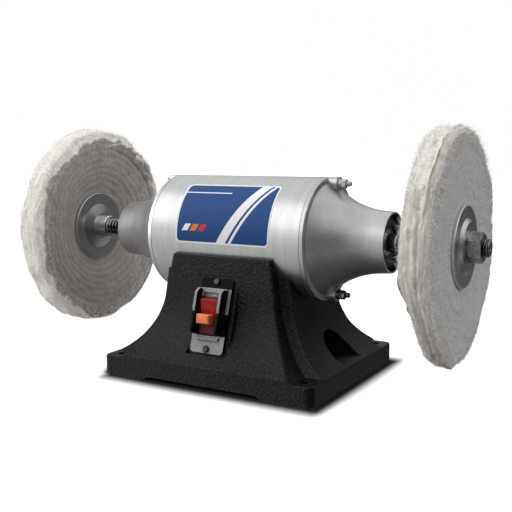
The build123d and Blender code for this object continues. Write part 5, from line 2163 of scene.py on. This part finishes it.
@dataclass
class Studio:
    """Pale floor, soft light and the camera."""

    eye: Point = (0.3932, -0.6719, 0.2135)
    target: Point = (0.00455, 0.0, 0.11267)
    lens: float = 55.34
    sensor: float = 36.0
    clip: tuple[float, float] = (0.01, 100.0)
    reach: float = 9.0
    drum_sides: int = 48
    drum_bottom: float = -0.05

    def stage_piece(self, name: str, points: list[Point], faces: list[list[int]], finish: Finish) -> None:
        """Adds a piece of the set that only the camera and its own shading know of.

        Args:
            name: Its name.
            points: Its points.
            faces: Its faces.
            finish: Its finish.
        """
        mesh = bpy.data.meshes.new(name)
        mesh.from_pydata(points, [], faces)
        mesh.materials.append(finish.material())
        made = bpy.data.objects.new(name, mesh)
        made.visible_glossy = False
        made.visible_diffuse = False
        made.visible_shadow = False
        bpy.context.scene.collection.objects.link(made)

    def floor(self) -> None:
        """A wide sheet under the machine."""
        edge = self.reach
        corners = [(-edge, -edge, 0), (edge, -edge, 0), (edge, edge, 0), (-edge, edge, 0)]
        self.stage_piece("floor", corners, [[0, 1, 2, 3]], FLOOR)

    def backdrop(self) -> None:
        """A tall white drum far round the machine."""
        sides = self.drum_sides
        angles = [2 * math.pi * side / sides for side in range(sides)]
        ring = [(self.reach * math.cos(angle), self.reach * math.sin(angle)) for angle in angles]
        points = [(x, y, height) for height in (self.drum_bottom, self.reach) for x, y in ring]
        faces = grid_faces(2, sides, False, True) + [list(range(sides, 2 * sides))]
        self.stage_piece("backdrop", points, faces, BACKDROP)

    def sky(self) -> None:
        """Soft light from all round: bright to the left and above, dim to the right and below."""
        world = bpy.data.worlds.new("studio")
        world.use_nodes = True
        nodes = Nodes(world.node_tree)
        x, y, z = nodes.split(nodes.node("TexCoord").outputs["Generated"])
        left = (z * 0.25 - x * 0.85 - y * 0.25).step(-0.1, 0.6)
        high = z.step(0.2, 0.72)
        low = z.step(-0.12, -0.32) * z.step(-0.72, -0.42)
        bright = 0.78 + 0.3 * z.step(-0.35, 0.05)
        dim = 0.07 + 0.18 * low + 0.85 * high
        level = dim + left * (bright - dim)
        colour = nodes.mix(1.0, (0.0, 0.0, 0.0), nodes.join(level, level, level))
        shader = nodes.node("Background", inputs={"Color": colour, "Strength": 1.0}).outputs["Background"]
        nodes.node("OutputWorld", inputs={"Surface": shader})
        bpy.context.scene.world = world

    def aimed(self, name: str, data: bpy.types.ID, place: Point) -> bpy.types.Object:
        """Adds a lamp or a camera that points at the machine.

        Args:
            name: Its name.
            data: The lamp's or camera's own settings.
            place: Where it is.

        Returns:
            The new object.
        """
        made = bpy.data.objects.new(name, data)
        made.location = place
        made.rotation_euler = (Vector(self.target) - Vector(place)).to_track_quat("-Z", "Y").to_euler()
        bpy.context.scene.collection.objects.link(made)
        return made

    def lamp(
        self,
        name: str,
        place: Point,
        power: float,
        size: tuple[float, float] = (0.8, 0.8),
        pieces: Iterable[str] = (),
        shadows: bool = True,
        mirrored: bool = False,
    ) -> None:
        """Adds one soft box that points at the machine.

        Args:
            name: Its name.
            place: Where it hangs or stands.
            power: Its power in watts.
            size: Its width and height.
            pieces: The names of the only pieces that it lights; it lights all if none is named.
            shadows: Whether pieces keep its light off each other.
            mirrored: Whether shiny surfaces show it.
        """
        light = bpy.data.lights.new(name, "AREA")
        light.shape = "RECTANGLE"
        light.size, light.size_y = size
        light.energy = power
        light.use_shadow = shadows
        made = self.aimed(name, light, place)
        made.visible_glossy = mirrored
        if pieces:
            lit = bpy.data.collections.new(f"lit by {name}")
            for piece in pieces:
                lit.objects.link(bpy.data.objects[piece])
            made.light_linking.receiver_collection = lit

    def lamps(self) -> None:
        """Adds the soft boxes: two for all, three for the wheels' cotton and one for the left bell."""
        self.lamp("key", (-0.9, -0.9, 1.1), 8, (1.8, 1.2), mirrored=True)
        self.lamp("top", (-0.2, 0.1, 1.5), 5, (1.2, 0.9))
        left, right = (
            [f"{side.word}_wheel_{part}" for part in ("cloth", "stitches", "fibres")]
            for side in (Side.LEFT, Side.RIGHT)
        )
        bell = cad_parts["left_end_bell"].name
        self.lamp("side", (1.3, 0.6, 0.5), 5.5, pieces=left + right)
        self.lamp("low", (-0.9, -0.9, -0.45), 6, pieces=left)
        self.lamp("face", (1.2, 0.0, 0.3), 5.8, pieces=left, shadows=False)
        self.lamp("bell", (-0.7, -0.8, 0.5), 8, pieces=[bell], shadows=False, mirrored=True)

    def camera(self) -> None:
        """A camera at the photograph's place."""
        data = bpy.data.cameras.new("camera")
        data.lens = self.lens
        data.sensor_width = self.sensor
        data.clip_start, data.clip_end = self.clip
        bpy.context.scene.camera = self.aimed("camera", data, self.eye)

    def build(self) -> None:
        """Sets the studio up."""
        self.floor()
        self.backdrop()
        self.sky()
        self.lamps()
        self.camera()
        bpy.context.scene.view_settings.view_transform = "Standard"
        log.info("studio set up")


def main() -> None:
    """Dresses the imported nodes, adds the finer pieces and sets the studio up."""
    logging.basicConfig(level=logging.INFO, format="%(message)s")
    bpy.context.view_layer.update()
    assemblies = (
        Dresser(DRESS),
        TubeLabel(),
        SwitchMarks(),
        LowerGuards(),
        LongBolts(),
        Spindle(),
        BuffingWheel(
            Side.RIGHT,
            seed=11,
            finish=RIGHT_COTTON,
            thread=RIGHT_THREAD,
            fibre=LOOSE_FIBRE,
            cloth=ClothRun(pressure=2, slack=0.015, cap=0.7 * MM),
            fold_turn=0.95,
            fold_span=0.45,
            fold_height=7 * MM,
            outer_bulge=1.9 * MM,
            fray_start=0.5 * MM,
            fray_wander=1.5 * MM,
            dents=(
                Dent(0.36, 0.03, -5 * MM),
                Dent(0.43, 0.03, 2.5 * MM),
                Dent(0.62, 0.02, -2.5 * MM),
                Dent(0.72, 0.02, 2 * MM),
            ),
            grooves=(Groove(0.25, 1.2, 0.55), Groove(0.45, 0.6, 0.3), Groove(0.7, 0.5, 0.2)),
            torn_plies=(TornPly(False, 0, 1.0),),
            thin_turn=0.855,
            thinning=8 * MM,
        ),
        BuffingWheel(
            Side.LEFT,
            seed=27,
            finish=LEFT_COTTON,
            thread=LEFT_THREAD,
            fibre=LOOSE_FIBRE,
            cloth=ClothRun(pressure=3, slack=0.035, cap=1.1 * MM),
            fold_turn=0.36,
            fold_span=1.0,
            fold_height=9 * MM,
            outer_bulge=3.2 * MM,
            fray_start=-3.0 * MM,
            fray_wander=6.5 * MM,
            dents=(
                Dent(0.0, 0.02, 2 * MM),
                Dent(0.31, 0.02, 2 * MM),
                Dent(0.345, 0.015, -3 * MM),
                Dent(0.56, 0.01, -2 * MM),
            ),
            grooves=(Groove(0.3, 0.6, 0.2), Groove(0.62, 0.5, 0.1)),
            torn_plies=(TornPly(True, 0, 0.35), TornPly(False, 0, 1.0), TornPly(False, 1, 0.9)),
            grey_turn=0.64,
            grey_reach=10 * MM,
        ),
        Studio(),
    )
    for assembly in assemblies:
        assembly.build()


if __name__ == "__main__":
    main()
